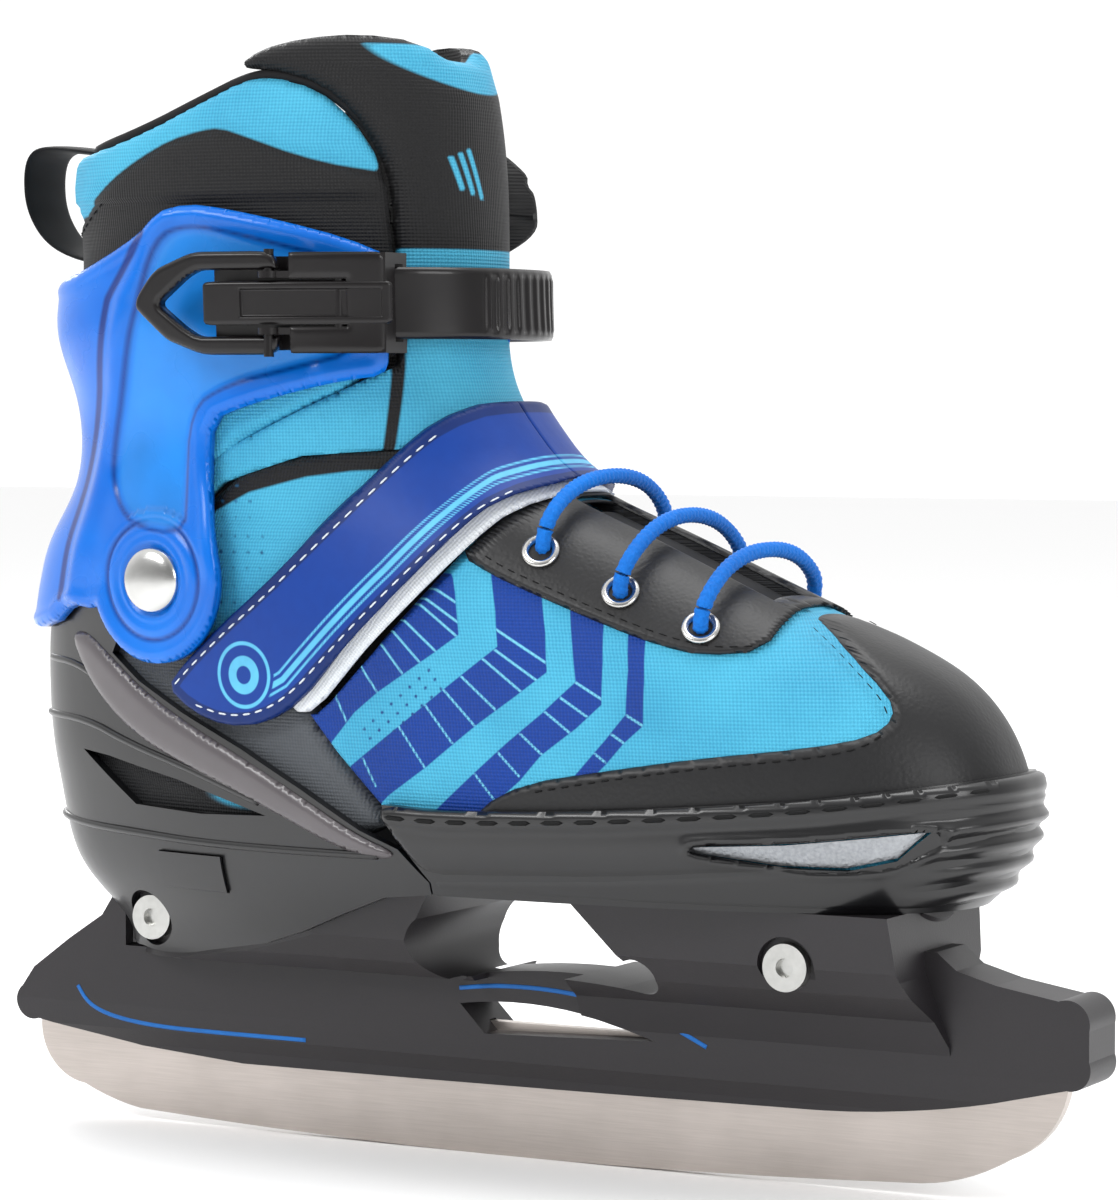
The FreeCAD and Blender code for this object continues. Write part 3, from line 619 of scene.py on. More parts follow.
def bead(name: str, body: str, slot: str, lines: Sequence[Sequence[Pair]], d: float, sides: Sequence[Side],
         radius: float, squash: float) -> bpy.types.Object:
    """Binding or moulded ridges: oval bars along side-view lines on the boot.

    Args:
        name: Piece name.
        body: The body it rides on.
        slot: The record's material slot.
        lines: Side-view lines.
        d: Stand-off of the bars' middle.
        sides: Which sides of the foot get them.
        radius: Half a bar's width.
        squash: Height over width.

    Returns:
        The piece's object.
    """
    parts = []
    for line in lines:
        for side in sides:
            path = over(line, d, side)
            parts.append(tube(path, radius, 8, squash, surface_out(path, d)))
    points, faces = joined(parts)
    return mesh_piece(name, body, slot, points, faces)


# ---- finishes ------------------------------------------------------------------------------------
def linear(hex_colour: str) -> tuple[float, float, float, float]:
    """An sRGB hex value as linear light.

    Args:
        hex_colour: Six hex digits after a hash.

    Returns:
        Red, green, blue and full alpha.
    """
    parts = [int(hex_colour[n:n + 2], 16) / 255 for n in (1, 3, 5)]
    light = [c / 12.92 if c <= 0.04045 else ((c + 0.055) / 1.055) ** 2.4 for c in parts]
    return light[0], light[1], light[2], 1.0


def add(tree: bpy.types.NodeTree, kind: str, settings: dict[str | int, object],
        links: Links) -> bpy.types.Node:
    """Adds one node.

    Args:
        tree: Where it goes.
        kind: Its type name, without "ShaderNode".
        settings: Its properties, or the values of its inputs.
        links: Sockets that feed its inputs.

    Returns:
        The node.
    """
    node = tree.nodes.new("ShaderNode" + kind)
    for key, value in settings.items():
        if isinstance(key, str) and hasattr(node, key):
            setattr(node, key, value)
        else:
            node.inputs[key].default_value = value
    for key, socket in links.items():
        tree.links.new(socket, node.inputs[key])
    return node


class Texture(Enum):
    """How a surface was made, which gives its relief."""

    MOULDED = "fine spark-eroded grain of a mould"
    WOVEN = "small diamonds of a plain weave"
    KNIT = "open mesh of round holes"
    GRAIN = "pebbled leather grain"
    BRUSHED = "fine lines of a grinding belt"
    RIBBED = "ribs of a narrow webbing"
    SMOOTH = "polished, with a faint waviness"


# Clouds of slightly uneven colour and gloss in a metre of any surface.
CLOUDS = 35.0


@dataclass(frozen=True)
class Ink:
    """A printed, dyed or painted-shade area: where a named field is below zero."""

    field: str
    colour: str
    soft: float = 0.25


@dataclass(frozen=True)
class Finish:
    """One material: colours at the top and bottom of its relief, relief in millimetres, and gloss."""

    name: str
    colour: str
    shade: str
    texture: Texture
    pitch: float
    depth: float
    roughness: float
    metallic: float = 0.0
    coat: float = 0.0
    sheen: float = 0.0
    specular: float = 0.3
    inks: tuple[Ink, ...] = ()

    def build(self) -> bpy.types.Material:
        """Makes the node material: pattern, clouded colour, inks, bump and gloss.

        Returns:
            The material.
        """
        material = bpy.data.materials.new(self.name)
        material.use_nodes = True
        tree = material.node_tree
        tree.nodes.clear()
        place = add(tree, "TexCoord", {}, {})
        pattern = self.pattern(tree, place)
        cloud = add(tree, "TexNoise", {"Scale": CLOUDS, "Detail": 3.0}, {"Vector": place.outputs["Object"]})
        blend = add(tree, "Math", {"operation": "MULTIPLY_ADD", 1: 0.55},
                    {0: pattern, 2: cloud.outputs["Fac"]})
        level = add(tree, "MapRange", {"From Min": 0.35, "From Max": 1.15}, {"Value": blend.outputs[0]})
        colour = add(tree, "Mix", {"data_type": "RGBA", 6: linear(self.shade), 7: linear(self.colour)},
                     {0: level.outputs[0]}).outputs[2]
        for ink in self.inks:
            field = add(tree, "Attribute", {"attribute_name": ink.field}, {})
            edge = {"From Min": -ink.soft, "From Max": ink.soft, "To Min": 1.0, "To Max": 0.0}
            share = add(tree, "MapRange", edge, {"Value": field.outputs["Fac"]})
            dye = {"data_type": "RGBA", "blend_type": "MULTIPLY", 0: 0.35, 6: linear(ink.colour)}
            tint = add(tree, "Mix", dye, {7: level.outputs[0]})
            printed = add(tree, "Mix", {"data_type": "RGBA"},
                          {0: share.outputs[0], 6: colour, 7: tint.outputs[2]})
            colour = printed.outputs[2]
        gloss = {"To Min": self.roughness * 0.85, "To Max": min(1.0, self.roughness * 1.2)}
        rough = add(tree, "MapRange", gloss, {"Value": cloud.outputs["Fac"]})
        bump = add(tree, "Bump", {"Strength": 1.0, "Distance": self.depth * MM}, {"Height": pattern})
        settings = {"Metallic": self.metallic, "Coat Weight": self.coat, "Coat Roughness": 0.08,
                    "Sheen Weight": self.sheen, "Specular IOR Level": self.specular}
        shader = add(tree, "BsdfPrincipled", settings,
                     {"Base Color": colour, "Roughness": rough.outputs[0], "Normal": bump.outputs[0]})
        add(tree, "OutputMaterial", {}, {"Surface": shader.outputs[0]})
        return material

    def pattern(self, tree: bpy.types.NodeTree, place: bpy.types.Node) -> bpy.types.NodeSocket:
        """The texture's height; its pitch in millimetres sets the scale.

        A weave is a sine of u + v times a sine of u - v, and a knit a sine of u times a sine of v.

        Args:
            tree: The material's nodes.
            place: Its coordinate node.

        Returns:
            A socket with the height, 0 to 1.
        """
        solid = place.outputs["Object"]
        scale = 1 / (self.pitch * MM)
        if self.texture in (Texture.MOULDED, Texture.SMOOTH):
            return add(tree, "TexNoise", {"Scale": scale, "Detail": 2.0}, {"Vector": solid}).outputs["Fac"]
        if self.texture is Texture.GRAIN:
            cell = add(tree, "TexVoronoi", {"feature": "SMOOTH_F1", "Scale": scale}, {"Vector": solid})
            raised = add(tree, "Math", {"operation": "SUBTRACT", 0: 1.0}, {1: cell.outputs["Distance"]})
            return raised.outputs[0]
        if self.texture is Texture.BRUSHED:
            stretched = add(tree, "Mapping", {"Scale": (0.03, 1.0, 1.0)}, {"Vector": solid})
            lines = add(tree, "TexNoise", {"Scale": scale, "Detail": 4.0}, {"Vector": stretched.outputs[0]})
            return lines.outputs["Fac"]
        if self.texture is Texture.RIBBED:
            wave = add(tree, "TexWave", {"bands_direction": "Z", "Scale": scale / 20}, {"Vector": solid})
            return wave.outputs["Fac"]
        parts = add(tree, "SeparateXYZ", {}, {0: place.outputs["UV"]})
        rate = FULL_TURN / self.pitch
        waves = []
        for sign in (1.0, -1.0):
            if self.texture is Texture.WOVEN:
                source = add(tree, "Math", {"operation": "MULTIPLY_ADD", 1: sign},
                             {0: parts.outputs[1], 2: parts.outputs[0]}).outputs[0]
            else:
                source = parts.outputs[0 if sign > 0 else 1]
            angle = add(tree, "Math", {"operation": "MULTIPLY", 1: rate}, {0: source})
            waves.append(add(tree, "Math", {"operation": "SINE"}, {0: angle.outputs[0]}).outputs[0])
        product = add(tree, "Math", {"operation": "MULTIPLY"}, {0: waves[0], 1: waves[1]})
        halved = {"operation": "MULTIPLY_ADD", 1: 0.5, 2: 0.5}
        return add(tree, "Math", halved, {0: product.outputs[0]}).outputs[0]


FINISHES = {
    # ground carbon steel: warm grey, with the belt's lines along the runner
    "blade_steel": Finish("ground steel", "#cfc6c0", "#aea6a0", Texture.BRUSHED, 0.35, 0.02, 0.36, 1.0),
    # glass-filled nylon straight from a grained mould: matt, with broad highlights
    "holder_plastic": Finish("moulded nylon", "#262326", "#1c1a1d", Texture.MOULDED, 0.5, 0.03, 0.42,
                             specular=0.45),
    # printing ink on the holder: thin, even and a little glossier than the nylon
    "paint_line": Finish("pad-printed blue", "#1b6fc2", "#155a9f", Texture.SMOOTH, 4.0, 0.01, 0.35),
    # zinc-plated screws: pale and soft edged in their reflections
    "bolt_steel": Finish("zinc plated steel", "#c9c9c6", "#a5a5a2", Texture.SMOOTH, 2.0, 0.01, 0.3, 1.0),
    # polished ABS shell: near black, with long clear highlights
    "shell_plastic": Finish("polished ABS", "#121214", "#0b0b0d", Texture.SMOOTH, 9.0, 0.03, 0.3,
                            specular=0.55, coat=0.15),
    # the same plastic, satin, coloured pale grey: a painted reflection of the room, a pale sheet on the wings
    "wing_painted_reflection": Finish("ABS with painted reflection", "#565154", "#4a4548", Texture.SMOOTH, 9.0, 0.02, 0.34,
                           specular=0.6, coat=0.3),
    # polished polypropylene: strong blue, paler on its panel, with painted shade in deep blue along its
    # grooves
    "cuff_plastic": Finish("blue polypropylene", "#0072d8", "#005cc0", Texture.SMOOTH, 12.0, 0.03, 0.27,
                           coat=0.15, inks=(Ink("groove_shade", "#003488", 0.5), Ink("light", "#1c88e6", 1.0))),
    # brushed lining: soft black without any shine
    "lining_cloth": Finish("brushed lining", "#17181c", "#0e0f12", Texture.KNIT, 1.6, 0.12, 0.85, sheen=0.03),
    # padded quarter: cyan weave above, grey mesh below, bound in black
    "grey_mesh": Finish("quarter cloth", "#4db5d6", "#2c8db4", Texture.WOVEN, 1.7, 0.22, 0.6, sheen=0.03,
                        inks=(Ink("mesh", "#55595e", 0.3), Ink("bound", "#101114", 0.3),
                              Ink("hole", "#175f8c", 0.25))),
    # hook tape: dull white with a fine pile
    "hook_tape": Finish("white hook tape", "#e9ecef", "#cdd3d8", Texture.KNIT, 1.1, 0.12, 0.8, sheen=0.03),
    # coated strap cloth: even royal blue, a darker binding and three pale printed stripes
    "strap_cloth": Finish("coated strap cloth", "#003a92", "#003284", Texture.SMOOTH, 3.0, 0.05, 0.45,
                          inks=(Ink("binding", "#00286c", 0.15), Ink("stripe", "#62c4ee", 0.15))),
    # nickel plate on a domed cap: the brightest metal on the skate
    "rivet_steel": Finish("nickel plated rivet", "#d8d8d6", "#b6b6b4", Texture.SMOOTH, 5.0, 0.01, 0.22, 1.0),
    # wire cloth behind the vents: pale grey and speckled
    "screen_steel": Finish("wire cloth", "#b9bcc0", "#777a7e", Texture.SMOOTH, 0.9, 0.2, 0.4, 0.9),
    # coated polyester weave: cyan with blue bars, light rays, dots and a black throat edge
    "cyan_weave": Finish("printed weave", "#4db5d6", "#2c8db4", Texture.WOVEN, 1.7, 0.22, 0.55, sheen=0.03,
                         inks=(Ink("bar", "#003c98", 0.15), Ink("ray", "#74cdea", 0.12),
                               Ink("dot", "#0a3f86", 0.15), Ink("bound", "#0e0f12", 0.25))),
    # grained synthetic leather: black, with highlights broken up by its pebbles
    "black_leather": Finish("grained leather", "#131315", "#0c0c0e", Texture.GRAIN, 0.9, 0.06, 0.42,
                            specular=0.45),
    # polyester thread: small dull beads, black and white
    "thread": Finish("black thread", "#060607", "#030304", Texture.SMOOTH, 1.0, 0.02, 0.7),
    "white_thread": Finish("white thread", "#e6ecf2", "#c9d2da", Texture.SMOOTH, 1.0, 0.02, 0.7),
    # rolled nickel rings: clear reflections round the lace
    "eyelet_metal": Finish("nickel eyelet", "#d6d5d2", "#b0afac", Texture.SMOOTH, 2.0, 0.01, 0.22, 1.0),
    # round braided lace: bright blue, dull, with its strands in the mesh
    "lace_cord": Finish("braided lace", "#0078dc", "#0055aa", Texture.SMOOTH, 0.8, 0.35, 0.7, sheen=0.03),
    # narrow black webbing: ribbed and dull
    "webbing": Finish("webbing", "#121214", "#08080a", Texture.RIBBED, 1.4, 0.15, 0.75, sheen=0.03),
    # polished nylon: a warm black with sharp highlights
    "buckle_plastic": Finish("polished nylon", "#151213", "#0e0c0d", Texture.SMOOTH, 6.0, 0.03, 0.3,
                             coat=0.2),
    # collar and tongue cloth: the same cyan weave with black leather panels
    "collar_cloth": Finish("collar cloth", "#4db5d6", "#2c8db4", Texture.WOVEN, 1.7, 0.2, 0.55, sheen=0.03,
                           inks=(Ink("leather", "#101012", 0.3),)),
}
BUILT: dict[str, bpy.types.Material] = {}


def dress(piece: bpy.types.Object, finish: str) -> bpy.types.Object:
    """Gives a piece one finish, which is built once.

    Args:
        piece: The object.
        finish: Its finish's name.

    Returns:
        The same object.
    """
    if finish not in BUILT:
        BUILT[finish] = FINISHES[finish].build()
    piece.data.materials.clear()
    piece.data.materials.append(BUILT[finish])
    return piece


BOTH = (Side.OUTER, Side.INNER)
# The turns of the front of the boot, all but its heel.
FRONT_TURNS = (1.2, FULL_TURN - 1.2)


# ---- sub-assemblies ------------------------------------------------------------------------------
@dataclass(frozen=True)
class Runner:
    """Blade, holder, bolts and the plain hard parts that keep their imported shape."""

    line_width: float = 0.55

    def build(self) -> None:
        """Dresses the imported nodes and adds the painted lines."""
        keep = {"blade": "blade_steel", "blade_holder": "holder_plastic", "holder_bolts": "bolt_steel",
                "sleeve_nuts": "bolt_steel", "sole_plate": "holder_plastic", "footbed": "lining_cloth",
                "heel_shell": "shell_plastic", "size_button": "shell_plastic", "toe_shell": "shell_plastic",
                "vent_screens": "screen_steel", "throat_lining": "lining_cloth",
                "buckle_frame": "buckle_plastic", "lever_pins": "buckle_plastic", "tab_pin": "buckle_plastic",
                "ladder_mount": "buckle_plastic", "ladder_screw": "bolt_steel"}
        for node, finish in keep.items():
            dress(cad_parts[node], finish)
        lines = [
            [(-127.5, 34.1), (-124.4, 29.7), (-117.7, 27), (-105.6, 25.4), (-90.6, 25), (-59.8, 25)],
            [(-16, 41), (-4.8, 42.4), (11.5, 42.2), (27.6, 39.8), (40.8, 36), (50.4, 31.5)],
        ]
        parts = []
        for line in lines:
            flat = resampled(rounded(line, 3, closed=False), 1.5)
            for side in BOTH:
                reach = np.where(flat[:, 1] < 30, 7.6 + (flat[:, 1] - 24) / 15, 8.0) + 0.04
                path = np.stack([flat[:, 0], side.value * reach, flat[:, 1]], -1)
                out = np.tile([0.0, float(side.value), 0.0], (len(path), 1))
                parts.append(tube(path, self.line_width, 8, 0.25, out))
        points, faces = joined(parts)
        dress(mesh_piece("holder_lines", "frame", "holder_plastic", points, faces), "paint_line")


# Side-view lines that more than one piece follows: the strap's edges, the toe shell's rim and its vent.
STRAP_TOP = [(-81.5, 113), (-76.5, 118.4), (-64.8, 127.7), (-51.3, 137.5), (-40.1, 147.5), (-27.9, 159),
             (-18.1, 170.5), (-11.2, 177.5), (-2.5, 182.5)]
STRAP_LOW = [(17.5, 164), (6.7, 159), (0.4, 152), (-12.4, 138.5), (-27.6, 124), (-41, 111), (-52, 105.5),
             (-63, 104.5), (-74, 107.6)]
RIM = [(-17.4, 88), (-2, 87.2), (40, 89.2), (87, 93), (117, 97), (135, 99.5)]
TOE_VENT = [(52, 81.6), (82, 83.2), (97, 85), (114, 87), (106, 79.6), (95.7, 77.2), (80, 77.6)]


@dataclass(frozen=True)
class HeelShell:
    """Relief on the heel shell: wing panels and ridges."""

    skin: float = 3.32
    wing_rise: float = 1.3
    wing_sink: float = 0.5

    def build(self) -> None:
        """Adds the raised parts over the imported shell."""
        wing = [(-112, 126), (-101, 118.6), (-91.9, 112.2), (-77.7, 105), (-58.5, 97), (-41.1, 88.6),
                (-26, 80.5), (-14, 76.5), (-18, 74.8), (-30, 76.5), (-50, 84.8), (-72, 92.5), (-92, 99.5),
                (-108, 110), (-118, 124)]
        near, far = 0.05, 2.4
        for name, turns in (("heel_wing_outer", (near, far)),
                            ("heel_wing_inner", (FULL_TURN - far, FULL_TURN - near))):
            patch = Patch(shape(wing), self.skin + self.wing_rise, self.skin - self.wing_sink, (72, 130),
                          turns, (420, 70), 3.5, 1.1)
            # the wing panels get the pale grey of a painted reflection
            dress(patch.build(name, "frame", "shell_plastic"), "wing_painted_reflection")
        ridges = [[(-132, 78.5), (-114.5, 77), (-94.3, 76.4), (-73.7, 75.5), (-42.4, 75.5), (-19.8, 75.8)],
                  [(-131, 104), (-112, 103.5), (-96, 98.5), (-76, 93.6), (-54, 86.6)],
                  [(-128, 118), (-116, 117.5), (-106, 113.5)]]
        bars = bead("heel_ridges", "frame", "shell_plastic", ridges, self.skin - 0.1, BOTH, 1.0, 0.8)
        dress(bars, "shell_plastic")


@dataclass(frozen=True)
class ToeShell:
    """Relief on the toe shell: an overhanging rim, a bulged wall, a crease and toe ridges."""

    skin: float = 3.32

    def bulge(self, spots: Array, away: Array) -> Array:
        """Stand-off: bells in the distance below the rim for belly, crease and vent lip, a step for the rim
        band and a cosine for the ridges round the toe.

        Args:
            spots: Points on the last.
            away: Signed distance to the outline; not used.

        Returns:
            Stand-off at each point.
        """
        x, z = spots[..., 0], spots[..., 2]
        rim = np.interp(x, [p[0] for p in RIM], [p[1] for p in RIM])
        below = rim - z
        belly = 0.9 * np.exp(-((below - 10) / 5.5) ** 2)
        band = 1.1 * (1 - 1 / (1 + np.exp(-(below - 4.2) * 3)))
        crease = -0.7 * np.exp(-((below - (15.5 - 0.07 * np.clip(x - 90, 0, 40) * 1.5)) / 1.0) ** 2)
        toe = 0.6 * np.clip((x - 100) / 12, 0, 1) * np.cos(below * FULL_TURN / 5.0) * np.clip(below - 5, 0, 1)
        vent = signed(side_view(spots), rounded(TOE_VENT, 2))
        lip = 0.5 * np.exp(-((vent - 1.2) / 1.0) ** 2)
        return self.skin + 0.15 + belly + band + crease + toe + lip

    def build(self) -> None:
        """Adds the skin with its vents, and the sewn slots along the rim."""
        outline = [(-17.6, 84.2), (-16.8, 88)] + RIM[1:] + [(140, 67.2), (-5.8, 67.2), (-5.8, 70)]
        region = less(shape(outline, 1), shape(TOE_VENT))
        skin = Patch(region, self.bulge, self.skin - 0.3, (66, 100), FRONT_TURNS, (700, 44), 1.2, 1.0)
        dress(skin.build("toe_skin", "toe", "shell_plastic"), "shell_plastic")
        slot_line = [(x, z - 2.6) for x, z in RIM[:-1]] + [(124, 95.4)]
        slots = sew("toe_rim_slots", "toe", "shell_plastic", [slot_line], self.skin + 1.4, BOTH,
                    6.0, 2.6, 1.1)
        dress(slots, "thread")


# Printed bars with a knee, from the rearmost, and the light rays that cross them.
BARS = (
    [(-4.3, 147), (-1.4, 137.5), (0.7, 128), (-5.7, 123.5), (-13.4, 118.5), (-20.5, 114), (-27, 109),
     (-35, 100), (-50, 110), (-50, 125), (-4.3, 170)],
    [(3, 156), (6.6, 142), (9.2, 133.5), (10.8, 125.5), (3, 119.5), (-5.6, 113), (-12.9, 107.5),
     (-22.4, 100.5), (-34, 92), (-24, 84), (-17.3, 90), (-6.9, 97), (6.7, 107.5), (15.9, 114), (23.8, 120),
     (22.2, 129), (19.9, 136.5), (15, 150)],
    [(25, 145), (27.2, 133.5), (29.2, 126), (31.1, 118), (23.1, 110.5), (14.5, 103.5), (6.4, 96.5),
     (-2.3, 89), (-8, 84), (5, 84), (11, 89), (18.2, 95), (23.5, 101), (32.1, 107.5), (37.9, 113),
     (37.1, 122.5), (35.7, 130.5), (33, 145)],
    [(40, 140), (41.7, 129), (43.3, 121), (43.9, 111), (39.3, 105), (33.7, 98.5), (29.7, 94), (24, 89.5),
     (18, 84), (25, 84), (30.3, 90), (35.7, 95.5), (39.8, 99.5), (44, 104.5), (48.3, 108.5), (47.5, 118.5),
     (46.1, 127), (45, 140)])
RAYS = (
    [(-32.9, 113.5), (-21, 92)], [(-27.7, 123), (-6.8, 96.5)], [(-22.1, 128), (12.6, 89)],
    [(-18.9, 130.5), (18, 96)], [(-15.7, 132.5), (32.8, 94)], [(-12.5, 136.5), (39.7, 100)],
    [(-12.6, 138.5), (44, 104.5)], [(-10.3, 140.5), (48.3, 108.5)])


@dataclass(frozen=True)
class Upper:
    """Cloth and leather of the boot's front half."""

    cloth: float = 0.0
    leather: float = 1.25

    @staticmethod
    def throat(spots: Array) -> Array:
        """Signed distance to the open throat between the eyelet rows."""
        x, y = spots[..., 0], spots[..., 1]
        return np.maximum(np.maximum(18 - x, x - 70), np.abs(y) - 9)

    def print_fields(self, spots: Array) -> dict[str, Array]:
        """Fields of the print: bars with a knee, light rays across them and a band of dots.

        Args:
            spots: Points on the last.

        Returns:
            Distances to bar, ray, dot and throat edge.
        """
        flat = side_view(spots)
        bar = np.minimum.reduce([signed(flat, np.array(outline, float)) for outline in BARS])
        ray = np.minimum.reduce([run_distance(flat, np.array(ends, float)) for ends in RAYS]) - 0.28
        steps, rows = np.meshgrid(np.arange(8), np.arange(3))
        dots_x, dots_z = -6.6 - 2.5 * steps + 1.7 * rows, 119.6 - 2.05 * steps - 2.1 * rows
        dot = np.full(flat.shape[:-1], 9.0)
        for x, z in zip(dots_x.ravel(), dots_z.ravel()):
            dot = np.minimum(dot, np.hypot(flat[..., 0] - x, flat[..., 1] - z) - 0.45)
        return {"bar": bar, "ray": np.maximum(ray, bar), "dot": dot, "bound": self.throat(spots) - 1.6}

    def build(self) -> None:
        """Builds the vamp, cap, stays, stitches and eyelets."""
        vamp = [(-5.6, 74), (-41.2, 108.2), (-37.4, 108), (-24.2, 120.9), (-9, 135.4), (3.8, 148.9),
                (10.2, 156), (20.8, 161.2), (26, 162), (140, 162), (140, 74)]
        cloth = Patch(less(shape(vamp, 1), self.throat), self.cloth, -3.0, (73.5, 162.5),
                      (0.9, FULL_TURN - 0.9), (860, 170), 0.6, 0.4, fields=self.print_fields)
        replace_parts(dress(cloth.build("vamp_cloth", "toe", "cyan_weave"), "cyan_weave"), "vamp")
        cap = [(8, 88.6), (20, 94.5), (40, 98), (62, 101.5), (88, 104.5), (100, 107), (104, 111), (102, 116),
               (90, 126.5), (76.5, 134.5), (78, 140), (140, 140), (140, 94.2), (117, 92.7), (87, 89.7),
               (40, 86.9), (8, 85)]
        leather = Patch(shape(cap, 1), self.leather, -0.1, (84, 136), FRONT_TURNS, (620, 60), 1.1, 0.9)
        piece = dress(leather.build("toe_cap_leather", "toe", "black_leather"), "black_leather")
        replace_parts(piece, "toe_cap")
        stay = [(18, 163.5), (10.4, 157.2), (4.2, 150.2), (0.4, 146.2), (8.4, 141.9), (20.1, 137.4),
                (39.8, 130.2), (52, 126.4), (62, 124.4), (74.6, 125.6), (75.8, 134), (75, 145), (25, 168)]
        stays = Patch(less(shape(stay, 1), lambda s: self.throat(s) - 0.2), self.leather, -0.1, (122, 162),
                      FRONT_TURNS, (620, 60), 1.1, 0.9)
        piece = dress(stays.build("eyestay_leather", "toe", "black_leather"), "black_leather")
        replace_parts(piece, "eyestays")
        seams = [[(22, 92.6), (40, 96), (62, 99.4), (88, 102.4), (98, 104.6), (101.6, 108)],
                 [(101.8, 111.5), (99.8, 115.5), (88.5, 125), (79, 131)],
                 [(4.4, 146.6), (9.6, 143.7), (21, 139.3), (40.4, 132.1), (52.4, 128.3), (62, 126.3),
                  (71, 126.8)]]
        dress(sew("upper_stitches", "toe", "black_leather", seams, self.leather + 0.02, BOTH), "thread")
        self.build_eyelets()

    def build_eyelets(self) -> None:
        """Rolled rings: a half-round profile turned about each eyelet's axis."""
        seats = [((17.5, -28.38, 147.2), (0.27, -0.769, 0.579)),
                 ((38.0, -27.7, 138.2), (0.278, -0.757, 0.591)),
                 ((58.0, -26.6, 130.4), (0.281, -0.708, 0.648)),
                 ((17.5, 29.88, 147.2), (0.24, 0.751, 0.615)),
                 ((38.0, 30.38, 138.2), (0.242, 0.756, 0.609)),
                 ((58.0, 30.56, 130.4), (0.236, 0.706, 0.668))]
        profile = [(3.1, -1.2), (4.4, 0.2), (4.55, 0.6), (4.3, 1.0), (3.7, 1.2), (3.1, 1.05), (2.7, 0.6),
                   (2.6, 0.0), (2.6, -1.2)]
        sides = 32
        inside = (len(profile) - 1) * sides
        foot = [[inside + n, inside + (n + 1) % sides, (n + 1) % sides, n] for n in range(sides)]
        rings = []
        for seat, axis in seats:
            points, faces = lathe(profile, np.array(seat), np.array(axis), sides)
            rings.append((points, faces[:-2] + foot))
        points, faces = joined(rings)
        piece = mesh_piece("eyelet_rings", "toe", "eyelet_metal", points, faces)
        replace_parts(dress(piece, "eyelet_metal"), "eyelets")


@dataclass(frozen=True)
class Laces:
    """One braided lace through the eyelets, a smooth curve through its route."""

    radius: float = 1.75
    ring_gap: float = 0.5
    sides: int = 16
    relief: float = 0.13
    twist: float = 1.6
    route: tuple[tuple[float, float, float], ...] = (
        (15.07, -21.46, 141.99), (19.66, -34.53, 151.83), (20.66, -15.54, 164.2), (21.42, 16.15, 164.5),
        (19.42, 35.89, 152.12), (15.34, 23.13, 141.66), (35.83, 23.58, 132.72), (39.93, 36.43, 143.07),
        (40.93, 16.39, 155.2), (42.23, -15.19, 155.5), (40.23, -33.75, 142.93), (35.49, -20.88, 132.88),
        (55.47, -20.22, 124.57), (60.25, -32.26, 135.58), (61.25, -14.52, 147.4), (61.89, 16.29, 147.7),
        (59.89, 36.21, 135.74), (55.87, 24.21, 124.39))

    def build(self) -> None:
        """A spline through the route, read as points, with a ring of points at each.

        The radius is multiplied by one plus a small product of two cosines of four times the ring's angle,
        one turned forward along the lace and one backward, which gives the braid's crossing strands.
        """
        curve = bpy.data.curves.new("lace_route", "CURVE")
        curve.dimensions = "3D"
        curve.resolution_u = 24
        line = curve.splines.new("NURBS")
        line.points.add(len(self.route) - 1)
        places = np.hstack([np.array(self.route) * MM, np.ones((len(self.route), 1))])
        line.points.foreach_set("co", places.ravel())
        line.order_u = 3
        line.use_endpoint_u = True
        holder = bpy.data.objects.new("lace_route", curve)
        bpy.context.scene.collection.objects.link(holder)
        bpy.context.view_layer.update()
        mesh = bpy.data.meshes.new_from_object(holder)
        spots = np.zeros(len(mesh.vertices) * 3)
        mesh.vertices.foreach_get("co", spots)
        path = resampled(spots.reshape(-1, 3) / MM, self.ring_gap)
        bpy.data.objects.remove(holder)
        bpy.data.meshes.remove(mesh)
        ahead = np.gradient(path, axis=0)
        ahead /= np.linalg.norm(ahead, axis=1, keepdims=True)
        first = np.cross(ahead, [0.3, 0.1, 1.0])
        first /= np.linalg.norm(first, axis=1, keepdims=True)
        second = np.cross(ahead, first)
        angle = np.arange(self.sides) * FULL_TURN / self.sides
        step = np.arange(len(path))[:, None] * self.ring_gap
        braid = 1 + self.relief * (np.cos(4 * angle[None] + step * self.twist)
                                   * np.cos(4 * angle[None] - step * self.twist))
        ring = (np.cos(angle)[None, :, None] * first[:, None]
                + np.sin(angle)[None, :, None] * second[:, None])
        points = (path[:, None] + self.radius * braid[..., None] * ring).reshape(-1, 3)
        index = np.arange(len(points)).reshape(len(path), self.sides)
        following = np.roll(index, -1, 1)
        faces = np.stack([index[:-1], following[:-1], following[1:], index[1:]], -1).reshape(-1, 4).tolist()
        faces += [index[0][::-1].tolist(), index[-1].tolist()]
        piece = mesh_piece("braided_lace", "toe", "lace_cord", points, faces)
        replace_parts(dress(piece, "lace_cord"), "laces")


